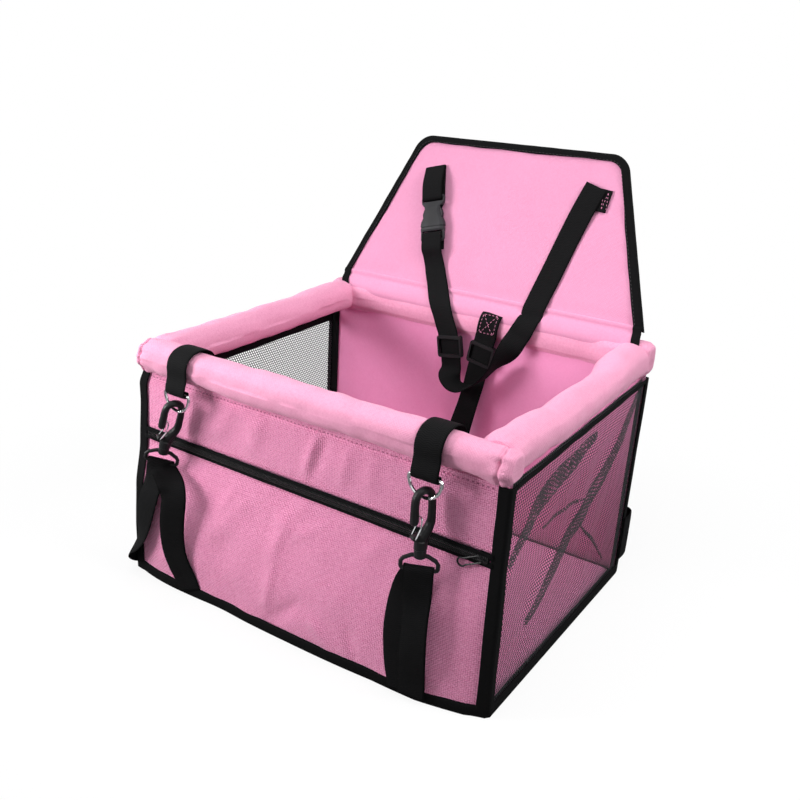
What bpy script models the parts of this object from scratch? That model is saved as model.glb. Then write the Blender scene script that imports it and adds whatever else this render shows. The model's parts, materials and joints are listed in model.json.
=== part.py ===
"""Dog travel carrier: a folding car booster box for a small dog.

A cloth box with net sides hangs from a rim of plastic tubes in padded sleeves.
The backrest folds down over the box on a sewn seam. Two swivel snap hooks on
doubled webbing hold the front of the rim to the bottom edge, a strap with a
side-release buckle goes round the headrest of the car seat, and a tether with
a third snap hook hangs inside the box. The front wall has a zipped pocket.

Metres, +Z up, the front faces -Y, and the origin is the middle of the box on
the surface that it stands on.
"""

import math

import bmesh
import bpy
import numpy as np
from mathutils import Matrix

# Box
BOX_WIDTH = 0.400
BOX_DEPTH = 0.300
RIM_HEIGHT = 0.252  # top of the padded rim, halfway back
RIM_RISE = 0.012  # how much higher the rim stands at the rear than at the front
FRONT_BOW = 0.016  # how far the bottom of the front wall bows out in the middle
FRONT_BOW_POWER = 2.4

# Cloth, boards and clearances
GAP = 0.0003  # between pieces that touch
CLOTH = 0.0015
LINING = 0.0020
NET = 0.0009
BINDING = 0.0016
BINDING_HEIGHT = 0.011  # of the bottom binding
BINDING_FLANGE = 0.008
BINDING_UNDER = 0.0012
CORNER_LEG_FRONT = 0.012
CORNER_LEG_SIDE = 0.010
CORNER_RADIUS = 0.003
BASE_BOARD = 0.0030
FLOOR_MAT = 0.0040
POCKET_SPACE = 0.0025
NET_TAPE_HEIGHT = 0.008

# Rim
ROLL_WIDTH = 0.036
ROLL_HEIGHT = 0.034
ROLL_POWER = 2.4
ROLL_SEAM_POWER = 5.0  # the squarer quarter of a side roll, where the net is sewn on
ROLL_END_BEYOND = 0.001  # how far the front roll reaches past the box on each side
ROLL_END_ROUND = 0.006
FRONT_ROLL_INSET = 0.003  # roll axis behind the front face
SIDE_ROLL_INSET = 0.019
CHANNEL_OUTSET = 0.002  # rear tube axis behind the rear face
CHANNEL_DEPTH = 0.029
CHANNEL_HEIGHT = 0.035
TUBE_RADIUS = 0.010
TUBE_WALL = 0.0018
ELBOW_RADIUS = 0.0125
ELBOW_BEND = 0.020
ELBOW_SOCKET = 0.016
SLEEVE_CLEARANCE = 0.0008  # between an elbow and the padding round it

# Backrest
BACK_TOP = 0.430
BACK_BOTTOM_HALF = 0.187
BACK_TOP_HALF = 0.1235
BACK_LEAN = math.radians(20.1)  # from upright, away from the box
BACK_CORNER = 0.022
BACK_BOARD = 0.0024
BACK_PAD = 0.0018
BACK_SKIN = 0.0012
BACK_BINDING = 0.0012
BACK_BINDING_REACH = 0.009
FOLD_BEAD = 0.0025  # radius of the sewn bead that the backrest folds on
FOLD_CLEARANCE = 0.0059  # from the fold axis to the top of the rear channel

# Zip
ZIP_HEIGHT = 0.1475
ZIP_TAPE = 0.0050  # visible part of one tape
ZIP_TAPE_THICK = 0.0010
ZIP_SLOT = 0.0016
ZIP_COIL = 0.0014  # half thickness of a row of the coil
ZIP_END = 0.0125  # tape ends this far inside the box side
SLIDER_FROM_END = 0.019
SLIDER_LENGTH = 0.009
SLIDER_HEIGHT = 0.0088
SLIDER_PLATE = 0.0009
SLIDER_BLADE = 0.0009
SLIDER_CLEARANCE = 0.0004
PULL_LENGTH = 0.0230
PULL_RING = 0.0045
PULL_NECK = 0.0029
PULL_WIRE = 0.0008
PULL_HANG = math.radians(27.0)

# Webbing
WEB_WIDTH = 0.025
WEB = 0.0014
LOOP_X = 0.135
LOOP_HANG = 0.0035  # the fold of a loop hangs this far below the roll
RING_WIRE = 0.0015
RING_HALF_WIDTH = 0.0150
RING_DEPTH = 0.0175
RING_CORNER = 0.0022

# Snap hooks
HOOK_HEIGHT = 0.0510  # swivel face to the centre line of the nose
HOOK_HALF = 0.0075  # centre line of the nose arm and of the spine
HOOK_BAR = 0.0032  # half width of the bar, seen from the broad side
HOOK_THICK = 0.0035
HOOK_COLLAR = 0.0055
HOOK_COLLAR_HEIGHT = 0.0085
SWIVEL_POST = 0.0020
SWIVEL_HEAD = 0.0032
SWIVEL_HEAD_HEIGHT = 0.0025
SWIVEL_NECK = 0.0039
GATE_WIRE = 0.00065
GATE_HALF = 0.0034
EYE_BAR = 0.0018
EYE_HALF = 0.0150
EYE_DROP = 0.0185
EYE_HUB = 0.0050
NOSE_PLAY = 0.0015  # between a hook's nose and the ring it hangs on
LEFT_HOOK_TILT = math.radians(19.0)
HOOK_TURN = math.radians(65.0)
LEFT_EYE_TURN = math.radians(38.0)
RIGHT_EYE_TURN = math.radians(25.0)

# Headrest strap and buckle
OVER_ANGLES = (115, 130, 147, 163, 180)  # round the rear channel, from its rear
LEFT_OVER = (-0.0490, -0.0460, -0.0415, -0.0370, -0.0325)
RIGHT_OVER = (0.0590, 0.0620, 0.0640, 0.0655, 0.0665)
BUCKLE_X = -0.0755
BUCKLE_UP = 0.0700  # mouth of the buckle above the fold axis, along the backrest
BUCKLE_TILT = math.radians(15.0)
BUCKLE_LIFT = 0.0066  # middle of the buckle in front of the backrest pad
BUCKLE_LENGTH = 0.0360
BUCKLE_MOUTH_HALF = 0.0150
BUCKLE_WAIST_HALF = 0.0092
BUCKLE_THICK = 0.0090
BUCKLE_WALL = 0.0016
BUCKLE_CLEARANCE = 0.0005
ARM_ROOT_X = 0.0070
ARM_WIDTH = 0.0024
PLUG_LENGTH = 0.0170
BAR_SLOT = (0.0030, 0.0074)  # of the socket, from its end
STRAP_TOP_LEFT = (-0.0940, 0.1390)  # x, and distance up the backrest
STRAP_TOP_RIGHT = (0.1010, 0.1390)
STRAP_FORWARD = 0.0180  # hanging strand in front of the rear channel's axis
STRAP_LOOP_FORWARD = 0.0300  # the bottom of its loop, which passes in front of the tether
GLIDE_WIDTH = 0.0300
GLIDE_LENGTH = 0.0250
GLIDE_BAR = 0.0040
GLIDE_PLATE = 0.0021
GLIDE_DROP = 0.0295  # first glide below the axis of the rear channel

# Tether
TETHER_X = 0.0230  # of its sewn tab
TETHER_FORWARD = 0.0138
TETHER_TURN = math.radians(-15.0)
TETHER_GLIDE_DROP = 0.0315
TETHER_END = (0.0020, 0.1240, 0.1020)  # where the tether passes round its snap hook

# Rear band
BAND_WIDTH = 0.0500
BAND_LOW = 0.0190
BAND_REACH = 0.0205  # middle of the loose band behind the rear wall
BAND_CORNER = 0.0120

PINK = ("pink_oxford", (0.80, 0.29, 0.50), 0.75, 0.0)
PINK_PAD = ("pink_padding", (0.83, 0.36, 0.56), 0.75, 0.0)
BLACK_TAPE = ("black_webbing", (0.012, 0.012, 0.013), 0.85, 0.0)
BLACK_NET = ("black_net", (0.03, 0.03, 0.032), 0.80, 0.0)
BLACK_PLASTIC = ("black_plastic", (0.022, 0.022, 0.024), 0.40, 0.0)
GREY_PLASTIC = ("grey_plastic", (0.075, 0.075, 0.080), 0.45, 0.0)
STEEL = ("chromed_steel", (0.72, 0.72, 0.74), 0.20, 1.0)
PVC = ("white_pvc", (0.82, 0.82, 0.80), 0.40, 0.0)
BOARD = ("grey_board", (0.35, 0.33, 0.30), 0.80, 0.0)

X, Y, Z = np.eye(3)


def material(spec):
    """The Principled material of a spec: name, colour, roughness, metallic."""
    name, colour, roughness, metallic = spec
    mat = bpy.data.materials.get(name)
    if mat is None:
        mat = bpy.data.materials.new(name)
        mat.use_nodes = True
        shader = mat.node_tree.nodes["Principled BSDF"]
        shader.inputs["Base Color"].default_value = (*colour, 1.0)
        shader.inputs["Roughness"].default_value = roughness
        shader.inputs["Metallic"].default_value = metallic
        mat.diffuse_color = (*colour, 1.0)
    return mat


def place(name, mesh, spec, parent=None, smooth=None):
    """An object of a mesh, with its material, under a parent's frame."""
    obj = bpy.data.objects.new(name, mesh)
    bpy.context.collection.objects.link(obj)
    if not mesh.materials:
        mesh.materials.append(material((name + "_finish", *spec[1:])))
    if smooth:
        mesh.shade_smooth()
        mesh.set_sharp_from_angle(angle=math.radians(smooth))
    if parent is not None:
        obj.parent = parent
    return obj


def pivot(name, location, rotation=None):
    """An empty on a joint's axis, which carries the pieces of a moving body."""
    empty = bpy.data.objects.new(name, None)
    bpy.context.collection.objects.link(empty)
    turn = Matrix.Identity(4) if rotation is None else rotation.to_4x4()
    empty.matrix_world = Matrix.Translation(location) @ turn
    bpy.context.view_layer.update()
    return empty


def skin_mesh(name, rings, wrap=False, split=False):
    """A closed mesh through rings of points, with flat caps.

    With split, every face becomes triangles, and opposite sides are cut the same
    way, so thin twisted webbing doesn't cut through itself.
    """
    rings = np.asarray(rings, float)
    count, sides = rings.shape[:2]
    mesh = bpy.data.meshes.new(name)
    bm = bmesh.new()
    verts = [[bm.verts.new(p) for p in ring] for ring in rings]
    for i in range(count if wrap else count - 1):
        near, far = verts[i], verts[(i + 1) % count]
        for j in range(sides):
            k = (j + 1) % sides
            corners = (near[j], near[k], far[k], far[j])
            if split and j >= sides // 2:
                corners = corners[1:] + corners[:1]
            bm.faces.new(corners)
    if not wrap:
        bm.faces.new(verts[0])
        bm.faces.new(list(reversed(verts[-1])))
    if split:
        bmesh.ops.triangulate(bm, faces=bm.faces, quad_method="FIXED")
    bmesh.ops.recalc_face_normals(bm, faces=bm.faces)
    bm.to_mesh(mesh)
    bm.free()
    return mesh


def skin(name, rings, spec, wrap=False, parent=None, smooth=None):
    return place(name, skin_mesh(name, rings, wrap), spec, parent, smooth)


def hollow_mesh(name, outer, inner):
    """A pipe wall between outer and inner rings, open at both ends."""
    return skin_mesh(name, np.concatenate([outer, inner[::-1]]), wrap=True)


def sheet(name, grid, thickness, spec, parent=None):
    """Cloth of one thickness on the inner side of a grid of points."""
    grid = np.asarray(grid, float)
    rows, cols = grid.shape[:2]
    mesh = bpy.data.meshes.new(name)
    at = np.arange(rows * cols).reshape(rows, cols)
    quads = np.stack([at[:-1, :-1], at[:-1, 1:], at[1:, 1:], at[1:, :-1]], -1)
    mesh.from_pydata(grid.reshape(-1, 3).tolist(), [], quads.reshape(-1, 4).tolist())
    mesh.update()
    obj = place(name, mesh, spec, parent)
    solid = obj.modifiers.new("cloth", "SOLIDIFY")
    solid.thickness = thickness
    solid.offset = -1.0
    return obj


def plate(name, outline, near, far, spec, axes, parent=None):
    """A flat piece: an outline in a plane, thick from near to far across it."""
    across, up, through = axes
    flat = np.asarray(outline)[:, 0, None] * across + np.asarray(outline)[:, 1, None] * up
    return skin(name, [flat + near * through, flat + far * through], spec, parent=parent)


def combine(target, tool, operation):
    """Cuts or joins a hidden helper solid into a target."""
    tool.hide_render = True
    tool.display_type = "WIRE"
    mod = target.modifiers.new(operation.lower(), "BOOLEAN")
    mod.operation = operation
    mod.solver = "EXACT"
    mod.object = tool


def settled_mesh(obj, name):
    """The mesh of an object with its modifiers applied; the object is removed."""
    bpy.context.view_layer.update()
    graph = bpy.context.evaluated_depsgraph_get()
    mesh = bpy.data.meshes.new_from_object(obj.evaluated_get(graph))
    mesh.name = name
    for mod in list(obj.modifiers):
        tool = getattr(mod, "object", None)
        if tool is not None:
            bpy.data.objects.remove(tool)
    bpy.data.objects.remove(obj)
    return mesh


def circle(radius, count, start=0.0):
    a = start + np.linspace(0, 2 * math.pi, count, endpoint=False)
    return np.stack([radius * np.cos(a), radius * np.sin(a)], -1)


def box_mesh(name, low, high):
    """A box between two corners."""
    (x0, y0, z0), (x1, y1, z1) = low, high
    ring = [(x0, y0), (x1, y0), (x1, y1), (x0, y1)]
    return skin_mesh(name, [[(x, y, z) for x, y in ring] for z in (z0, z1)])


def box_tool(low, high, parent=None):
    return place("box_tool", box_mesh("box_tool", low, high), BOARD, parent)


def reach(half_width, half_height, power, offset):
    """Half height of a superellipse at an offset from its middle."""
    inside = np.clip(1 - np.abs(offset / half_width) ** power, 0, 1)
    return half_height * inside ** (1 / power)


def superellipse(half_width, half_height, power, count, seam_power=None, seam_side=0):
    """A rounded section; its lower quarter on seam_side may be squarer."""
    a = np.linspace(0, 2 * math.pi, count, endpoint=False)
    c, s = np.cos(a), np.sin(a)
    p = np.full(count, float(power))
    if seam_side:
        p[(s < -1e-6) & (c * seam_side > 1e-6)] = seam_power
    size = (np.abs(c) ** p + np.abs(s) ** p) ** (-1 / p)
    return np.stack([half_width * c * size, half_height * s * size], -1)


def smooth_through(rows, steps):
    """A smooth curve through rows of values, spaced by their first three columns."""
    p = np.asarray(rows, float)
    gap = np.linalg.norm(np.diff(p[:, :3], axis=0), axis=1)[:, None]
    slope = np.diff(p, axis=0) / gap
    inner = (slope[:-1] * gap[1:] + slope[1:] * gap[:-1]) / (gap[1:] + gap[:-1])
    tangent = np.vstack([slope[:1], inner, slope[-1:]])
    t = np.linspace(0, 1, steps, endpoint=False)[:, None]
    spans = []
    for i, step in enumerate(gap[:, 0]):
        start, end = p[i], p[i + 1]
        out, into = tangent[i] * step, tangent[i + 1] * step
        cubic = 2 * (start - end) + out + into
        square = 3 * (end - start) - 2 * out - into
        spans.append(start + out * t + square * t**2 + cubic * t**3)
    return np.vstack(spans + [p[-1:]])


def unit(v):
    v = np.asarray(v, float)
    return v / np.linalg.norm(v, axis=-1, keepdims=True)


def sweep(path, section, side, closed=False, along=None):
    """A section carried along a path; side is its first axis at each point."""
    path = np.asarray(path, float)
    if along is not None:
        along = np.asarray(along, float)
    elif closed:
        along = np.roll(path, -1, 0) - np.roll(path, 1, 0)
    else:
        along = np.gradient(path, axis=0)
    along = unit(along)
    side = np.broadcast_to(np.asarray(side, float), path.shape)
    side = unit(side - (side * along).sum(1, keepdims=True) * along)
    normal = np.cross(along, side)
    section = np.broadcast_to(section, (len(path), *np.shape(section)[-2:]))
    return (
        path[:, None]
        + section[..., :1] * side[:, None]
        + section[..., 1:] * normal[:, None]
    )


def rows_through(rows, steps):
    """A smooth path through rows of a point and its width direction."""
    curve = smooth_through([np.concatenate(row) for row in rows], steps)
    return curve[:, :3], curve[:, 3:]


def ribbon_rings(path, side, width=WEB_WIDTH, thick=WEB):
    w, t = width / 2, thick / 2
    return sweep(path, [(-w, -t), (w, -t), (w, t), (-w, t)], side)


def ribbon(name, path, side, spec=BLACK_TAPE, width=WEB_WIDTH, parent=None):
    """Flat webbing along a path, with its width along side at each point."""
    return place(name, skin_mesh(name, ribbon_rings(path, side, width), split=True), spec, parent)


# Places that several pieces share
FRONT = -BOX_DEPTH / 2
FACE_INSET = BINDING + GAP  # outer face of a wall inside the bindings
FACE_X = BOX_WIDTH / 2 - FACE_INSET
FACE_FRONT = FRONT + FACE_INSET
FACE_REAR = BOX_DEPTH / 2 - FACE_INSET
WALL_FOOT = BINDING_UNDER + GAP
WALL_X = FACE_X - CORNER_RADIUS * 0.4
FRONT_ROLL_Y = FRONT + FRONT_ROLL_INSET
SIDE_ROLL_X = BOX_WIDTH / 2 - SIDE_ROLL_INSET
CHANNEL_Y = BOX_DEPTH / 2 + CHANNEL_OUTSET
BORE = ELBOW_RADIUS + SLEEVE_CLEARANCE
ROLL_SIDES = 24
BORE_SIDES = 20
ELBOW_SIDES = 14
CHANNEL_SIDES = 28


def rim_z(y):
    """Height of the rim's tube axis at a depth."""
    return RIM_HEIGHT - ROLL_HEIGHT / 2 + RIM_RISE * y / BOX_DEPTH


def on_rim(points):
    """Points given about the tube axis, lifted into the rising rim."""
    points = np.array(points, float)
    points[..., 2] += rim_z(points[..., 1])
    return points


CHANNEL_Z = rim_z(CHANNEL_Y)
FOLD_Z = CHANNEL_Z + CHANNEL_HEIGHT / 2 + FOLD_CLEARANCE
BACK_REAR = BACK_BOARD / 2 + GAP + BACK_SKIN + GAP + BACK_BINDING
FRONT_TOP = rim_z(FRONT_ROLL_Y) - ROLL_HEIGHT / 2 - GAP
ZIP_LOW = ZIP_HEIGHT - ZIP_SLOT / 2 - ZIP_COIL - ZIP_TAPE
ZIP_HIGH = ZIP_HEIGHT + ZIP_SLOT / 2 + ZIP_COIL + ZIP_TAPE


def bow(x):
    """How far the bottom edge of the front bows out at x; none at the corners."""
    half = BOX_WIDTH / 2 - CORNER_LEG_FRONT - GAP
    return FRONT_BOW * np.clip(1 - np.abs(x / half) ** FRONT_BOW_POWER, 0, 1)


def front_face(x, z, depth=0.0):
    """Depth coordinate of the front wall; the bow fades out below the zip."""
    drop = np.clip(1 - z / (ZIP_LOW - GAP), 0, 1)
    return FACE_FRONT + depth - bow(x) * drop


def footprint(inset, bowed=1.0):
    """The outline of the bottom, inset, with round corners and a bowed front."""
    hx, hy = BOX_WIDTH / 2 - inset, BOX_DEPTH / 2 - inset
    r = max(CORNER_RADIUS - inset, 0.0004)
    a = np.linspace(0, math.pi / 2, 4)
    corners = []
    for turn, (sx, sy) in zip(range(4), ((1, -1), (1, 1), (-1, 1), (-1, -1))):
        angle = a + (turn - 1) * math.pi / 2
        centre = np.array([sx * (hx - r), sy * (hy - r)])
        corners.append(centre + r * np.stack([np.cos(angle), np.sin(angle)], -1))
    across = np.linspace(-1, 1, 19) * (BOX_WIDTH / 2 - CORNER_LEG_FRONT - GAP)
    front = np.stack([across, -hy - bowed * bow(across)], -1)
    return np.vstack([front, *corners])


def wall_grid(z_rows, depth, columns=16):
    """Points on the front wall, seen from outside, rows from the bottom up."""
    straight = BOX_WIDTH / 2 - CORNER_LEG_FRONT - GAP
    xs = [-WALL_X, *np.linspace(-straight, straight, columns - 1), WALL_X]
    return [[(x, front_face(x, z, depth), z) for x in xs] for z in z_rows]


def build_bottom():
    """The stiff board in its cloth, the floor mat and the bound bottom edge."""
    legs = [
        (0, 0),
        (0, BINDING_HEIGHT),
        (BINDING, BINDING_HEIGHT),
        (BINDING, BINDING_UNDER),
        (BINDING + BINDING_FLANGE, BINDING_UNDER),
        (BINDING + BINDING_FLANGE, 0),
    ]
    rings = [[(x, y, z) for x, y in footprint(inset)] for inset, z in legs]
    skin("bottom_binding", rings, BLACK_TAPE, wrap=True)
    board = footprint(BINDING + BINDING_FLANGE + GAP)
    plate("base_board", board, 0.0, BASE_BOARD, BOARD, (X, Y, Z))
    inside = FACE_INSET + CLOTH + POCKET_SPACE + LINING + GAP
    low = BASE_BOARD + GAP
    bowed = 1 - (low + FLOOR_MAT) / ZIP_LOW
    plate("floor_mat", footprint(inside, bowed), low, low + FLOOR_MAT, PINK, (X, Y, Z))


def build_front():
    """Inner wall, zipped pocket, and the zip with its slider and pull."""
    low_rows = np.linspace(WALL_FOOT, ZIP_LOW - GAP, 4)
    depth = CLOTH + POCKET_SPACE
    rows = [*low_rows, ZIP_HIGH, FRONT_TOP]
    sheet("front_wall", wall_grid(rows, depth), LINING, PINK)
    sheet("pocket_panel", wall_grid(low_rows, 0), CLOTH, PINK)
    rows = [ZIP_HIGH + GAP, FRONT_TOP]
    sheet("front_panel_upper", wall_grid(rows, 0, 2), CLOTH, PINK)
    half = BOX_WIDTH / 2 - ZIP_END
    middle = FACE_FRONT + CLOTH / 2
    bump = circle(ZIP_COIL, 12, -math.pi / 2)[:7]
    for name, sign in (("zipper_tape_lower", -1), ("zipper_tape_upper", 1)):
        thick = ZIP_TAPE_THICK / 2
        coil = ZIP_HEIGHT + sign * (ZIP_SLOT / 2 + ZIP_COIL)
        far = coil + sign * ZIP_TAPE
        root = coil + sign * ZIP_COIL * 0.6
        section = [(y, coil - sign * abs(x)) for x, y in bump]
        section += [(thick, root), (thick, far), (-thick, far), (-thick, root)]
        rings = [[(x, middle + y, z) for y, z in section] for x in (-half, half)]
        skin(name, rings, BLACK_TAPE)
    build_slider(middle)


def build_slider(middle):
    """Two plates on a blade that runs in the slot between the coil rows."""
    x = BOX_WIDTH / 2 - SLIDER_FROM_END
    carrier = pivot("slider_pivot", (x, middle, ZIP_HEIGHT))
    inner = ZIP_COIL + SLIDER_CLEARANCE
    outer = inner + SLIDER_PLATE
    blade, high = SLIDER_BLADE / 2, SLIDER_HEIGHT / 2
    section = [(-outer, -high), (-inner, -high), (-inner, -blade), (inner, -blade)]
    section += [(inner, -high), (outer, -high), (outer, high), (inner, high)]
    section += [(inner, blade), (-inner, blade), (-inner, high), (-outer, high)]
    taper = ((-0.50, 0.72), (-0.30, 0.88), (0.20, 1.0), (0.42, 0.94), (0.50, 0.80))
    rings = []
    for along, share in taper:
        ring = [(along * SLIDER_LENGTH, y, z * (share if abs(z) > blade else 1)) for y, z in section]
        rings.append(ring)
    body = skin("slider_body", rings, BLACK_PLASTIC)
    arch = [(-0.0023, 0), (-0.0021, 0.0019), (0, 0.0029), (0.0021, 0.0019), (0.0023, 0)]
    arch = smooth_through(arch, 3)
    path = [(along, -outer + 0.0002 - out, 0) for along, out in arch]
    bridge = skin("bridge_tool", sweep(path, circle(0.0007, 8), Z), BLACK_PLASTIC)
    combine(body, bridge, "UNION")
    mesh = settled_mesh(body, "zipper_slider")
    place("zipper_slider", mesh, BLACK_PLASTIC, carrier, 35)
    hinge_y = -outer - 0.0012
    hang = Matrix.Rotation(-PULL_HANG, 3, "Y")
    hinge = pivot("pull_pivot", (x, middle + hinge_y, ZIP_HEIGHT), hang)
    r, neck = PULL_RING - PULL_WIRE, PULL_NECK
    far = -PULL_LENGTH + PULL_RING
    tear = [(far + r * math.cos(t), r * math.sin(t)) for t in np.radians(np.linspace(50, 310, 14))]
    tear += [(-neck, -neck), (-neck * 0.3, -neck * 0.9), (0, -neck * 0.4)]
    tear += [(0, neck * 0.4), (-neck * 0.3, neck * 0.9), (-neck, neck)]
    loop = [(u, 0, w) for u, w in tear]
    skin("zipper_pull", sweep(loop, circle(PULL_WIRE, 6), Y, True), BLACK_PLASTIC, True, hinge, 60)


def roll_end(length):
    """Stations along the front roll, with the scale of the section at each."""
    r = ROLL_END_ROUND
    near = [(0.0, 0.78), (0.15 * r, 0.88), (0.45 * r, 0.96), (r, 1.0)]
    return [(-length + d, s) for d, s in near] + [(length - d, s) for d, s in near[::-1]]


def front_roll_rings(grow=0.0):
    """The front roll along X, closed and rounded at its ends."""
    half = BOX_WIDTH / 2 + ROLL_END_BEYOND + grow
    ring = superellipse(ROLL_WIDTH / 2 + grow, ROLL_HEIGHT / 2 + grow, ROLL_POWER, ROLL_SIDES)
    return on_rim([[(x, FRONT_ROLL_Y + s * y, s * z) for y, z in ring] for x, s in roll_end(half)])


def channel_rings(grow=0.0):
    """The padded sleeve along the rear edge."""
    ring = superellipse(CHANNEL_DEPTH / 2 + grow, CHANNEL_HEIGHT / 2 + grow, ROLL_POWER, CHANNEL_SIDES)
    half = FACE_X + grow
    return [[(x, CHANNEL_Y + y, CHANNEL_Z + z) for y, z in ring] for x in (-half, half)]


def seam_rings():
    """The stem and bead on the rear sleeve, on which the backrest folds."""
    stem = 0.0009
    a = np.linspace(-0.36 * math.pi, 1.36 * math.pi, 11)
    bead = [(FOLD_BEAD * math.cos(t), FOLD_Z + FOLD_BEAD * math.sin(t)) for t in a]
    low = CHANNEL_Z + CHANNEL_HEIGHT / 2 - 0.002
    section = [(stem, low), *bead, (-stem, low)]
    half = BACK_BOTTOM_HALF - 0.001
    return [[(x, CHANNEL_Y + y, z) for y, z in section] for x in (-half, half)]


def elbow_path(side, rear):
    """Centre line of a corner elbow, from the cross tube to the side tube."""
    corner_y = CHANNEL_Y if rear else FRONT_ROLL_Y
    inward = -1 if rear else 1
    leg = ELBOW_BEND + ELBOW_SOCKET
    cx, cy = SIDE_ROLL_X - ELBOW_BEND, corner_y + inward * ELBOW_BEND
    a = np.linspace(0, math.pi / 2, 5)
    arc = np.stack([cx + ELBOW_BEND * np.sin(a), cy - inward * ELBOW_BEND * np.cos(a)], -1)
    path = np.vstack([[(SIDE_ROLL_X - leg, corner_y)], arc, [(SIDE_ROLL_X, corner_y + inward * leg)]])
    a = np.concatenate([[0], a, [math.pi / 2]])
    along = np.column_stack([side * np.cos(a), inward * np.sin(a), 0 * a])
    return np.column_stack([side * path[:, 0], path[:, 1], 0 * a]), along


def elbow_mesh(side, rear):
    """A bend with a socket at each end, open right through."""
    path, along = elbow_path(side, rear)
    outer = on_rim(sweep(path, circle(ELBOW_RADIUS, ELBOW_SIDES), Z, along=along))
    socket, way = TUBE_RADIUS + 2 * GAP, TUBE_RADIUS - TUBE_WALL
    step = ELBOW_SOCKET - GAP
    near, far = path[0] + along[0] * step, path[-1] - along[-1] * step
    nudge = GAP / 10
    spots = [path[0], near, near + along[0] * nudge, *path[2:-2], far - along[-1] * nudge, far, path[-1]]
    turns = [along[0], along[0], along[0], *along[2:-2], along[-1], along[-1], along[-1]]
    radii = [socket, socket] + [way] * (len(spots) - 4) + [socket, socket]
    sections = [circle(r, ELBOW_SIDES) for r in radii]
    inner = on_rim(sweep(spots, sections, Z, along=turns))
    return hollow_mesh("elbow", outer, inner)


def reversed_path(path):
    return path[0][::-1], -path[1][::-1]


def joined(first, second):
    """The first path backwards and the second one on from it."""
    back = reversed_path(first)
    return np.vstack([back[0], second[0]]), np.vstack([back[1], second[1]])


def hollow(sleeve, path):
    """Cuts the room for the tubes and elbows along a path into a sleeve."""
    rings = on_rim(sweep(path[0], circle(BORE, BORE_SIDES), Z, along=path[1]))
    combine(sleeve, skin("bore_tool", rings, BOARD), "DIFFERENCE")


def build_rim():
    """Padded sleeves, the tubes in them, and the elbows that join the tubes."""
    front = skin("front_roll", front_roll_rings(), PINK_PAD, smooth=50)
    channel = skin("rear_channel", channel_rings(), PINK_PAD, smooth=50)
    combine(channel, skin("seam_tool", seam_rings(), PINK_PAD), "UNION")
    for sleeve, rear in ((front, False), (channel, True)):
        hollow(sleeve, joined(elbow_path(-1, rear), elbow_path(1, rear)))
    for name, side in (("left", -1), ("right", 1)):
        x = side * SIDE_ROLL_X
        section = superellipse(
            ROLL_WIDTH / 2, ROLL_HEIGHT / 2, ROLL_POWER, ROLL_SIDES, ROLL_SEAM_POWER, side
        )
        ys = np.linspace(FRONT_ROLL_Y + 0.010, CHANNEL_Y - 0.008, 4)
        rings = on_rim([[(x + u, y, z) for u, z in section] for y in ys])
        roll = skin(f"{name}_roll", rings, PINK_PAD, smooth=50)
        combine(roll, skin("cope_tool", front_roll_rings(GAP), BOARD), "DIFFERENCE")
        combine(roll, skin("cope_tool", channel_rings(GAP), BOARD), "DIFFERENCE")
        hollow(roll, joined(reversed_path(elbow_path(side, False)), reversed_path(elbow_path(side, True))))
        for where, rear in (("front", False), ("rear", True)):
            place(f"elbow_{where}_{name}", elbow_mesh(side, rear), PVC, smooth=40)
    stop = ELBOW_BEND + GAP
    reach_x = SIDE_ROLL_X - stop
    build_tube("front_tube", (-reach_x, FRONT_ROLL_Y, 0), (reach_x, FRONT_ROLL_Y, 0))
    build_tube("rear_tube", (-reach_x, CHANNEL_Y, 0), (reach_x, CHANNEL_Y, 0))
    for name, x in (("left", -SIDE_ROLL_X), ("right", SIDE_ROLL_X)):
        build_tube(f"{name}_tube", (x, FRONT_ROLL_Y + stop, 0), (x, CHANNEL_Y - stop, 0))


def build_tube(name, start, end):
    """One straight length of tube, open at both ends."""
    inset = unit(np.subtract(end, start)) * GAP
    ends = np.array([start + inset, end - inset])
    outer = on_rim(sweep(ends, circle(TUBE_RADIUS, 20), Z))
    inner = on_rim(sweep(ends, circle(TUBE_RADIUS - TUBE_WALL, 20), Z))
    place(name, hollow_mesh(name, outer, inner), PVC, smooth=40)


def under_rim(y):
    """Height of a net's top edge: just below whichever sleeve is above it."""
    seam = FACE_X - NET - SIDE_ROLL_X
    side = reach(ROLL_WIDTH / 2, ROLL_HEIGHT / 2, ROLL_SEAM_POWER, seam)
    front = reach(ROLL_WIDTH / 2, ROLL_HEIGHT / 2, ROLL_POWER, y - FRONT_ROLL_Y)
    rear = reach(CHANNEL_DEPTH / 2, CHANNEL_HEIGHT / 2, ROLL_POWER, y - CHANNEL_Y)
    return rim_z(y) - np.maximum(side, np.maximum(front, rear)) - GAP


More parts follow.
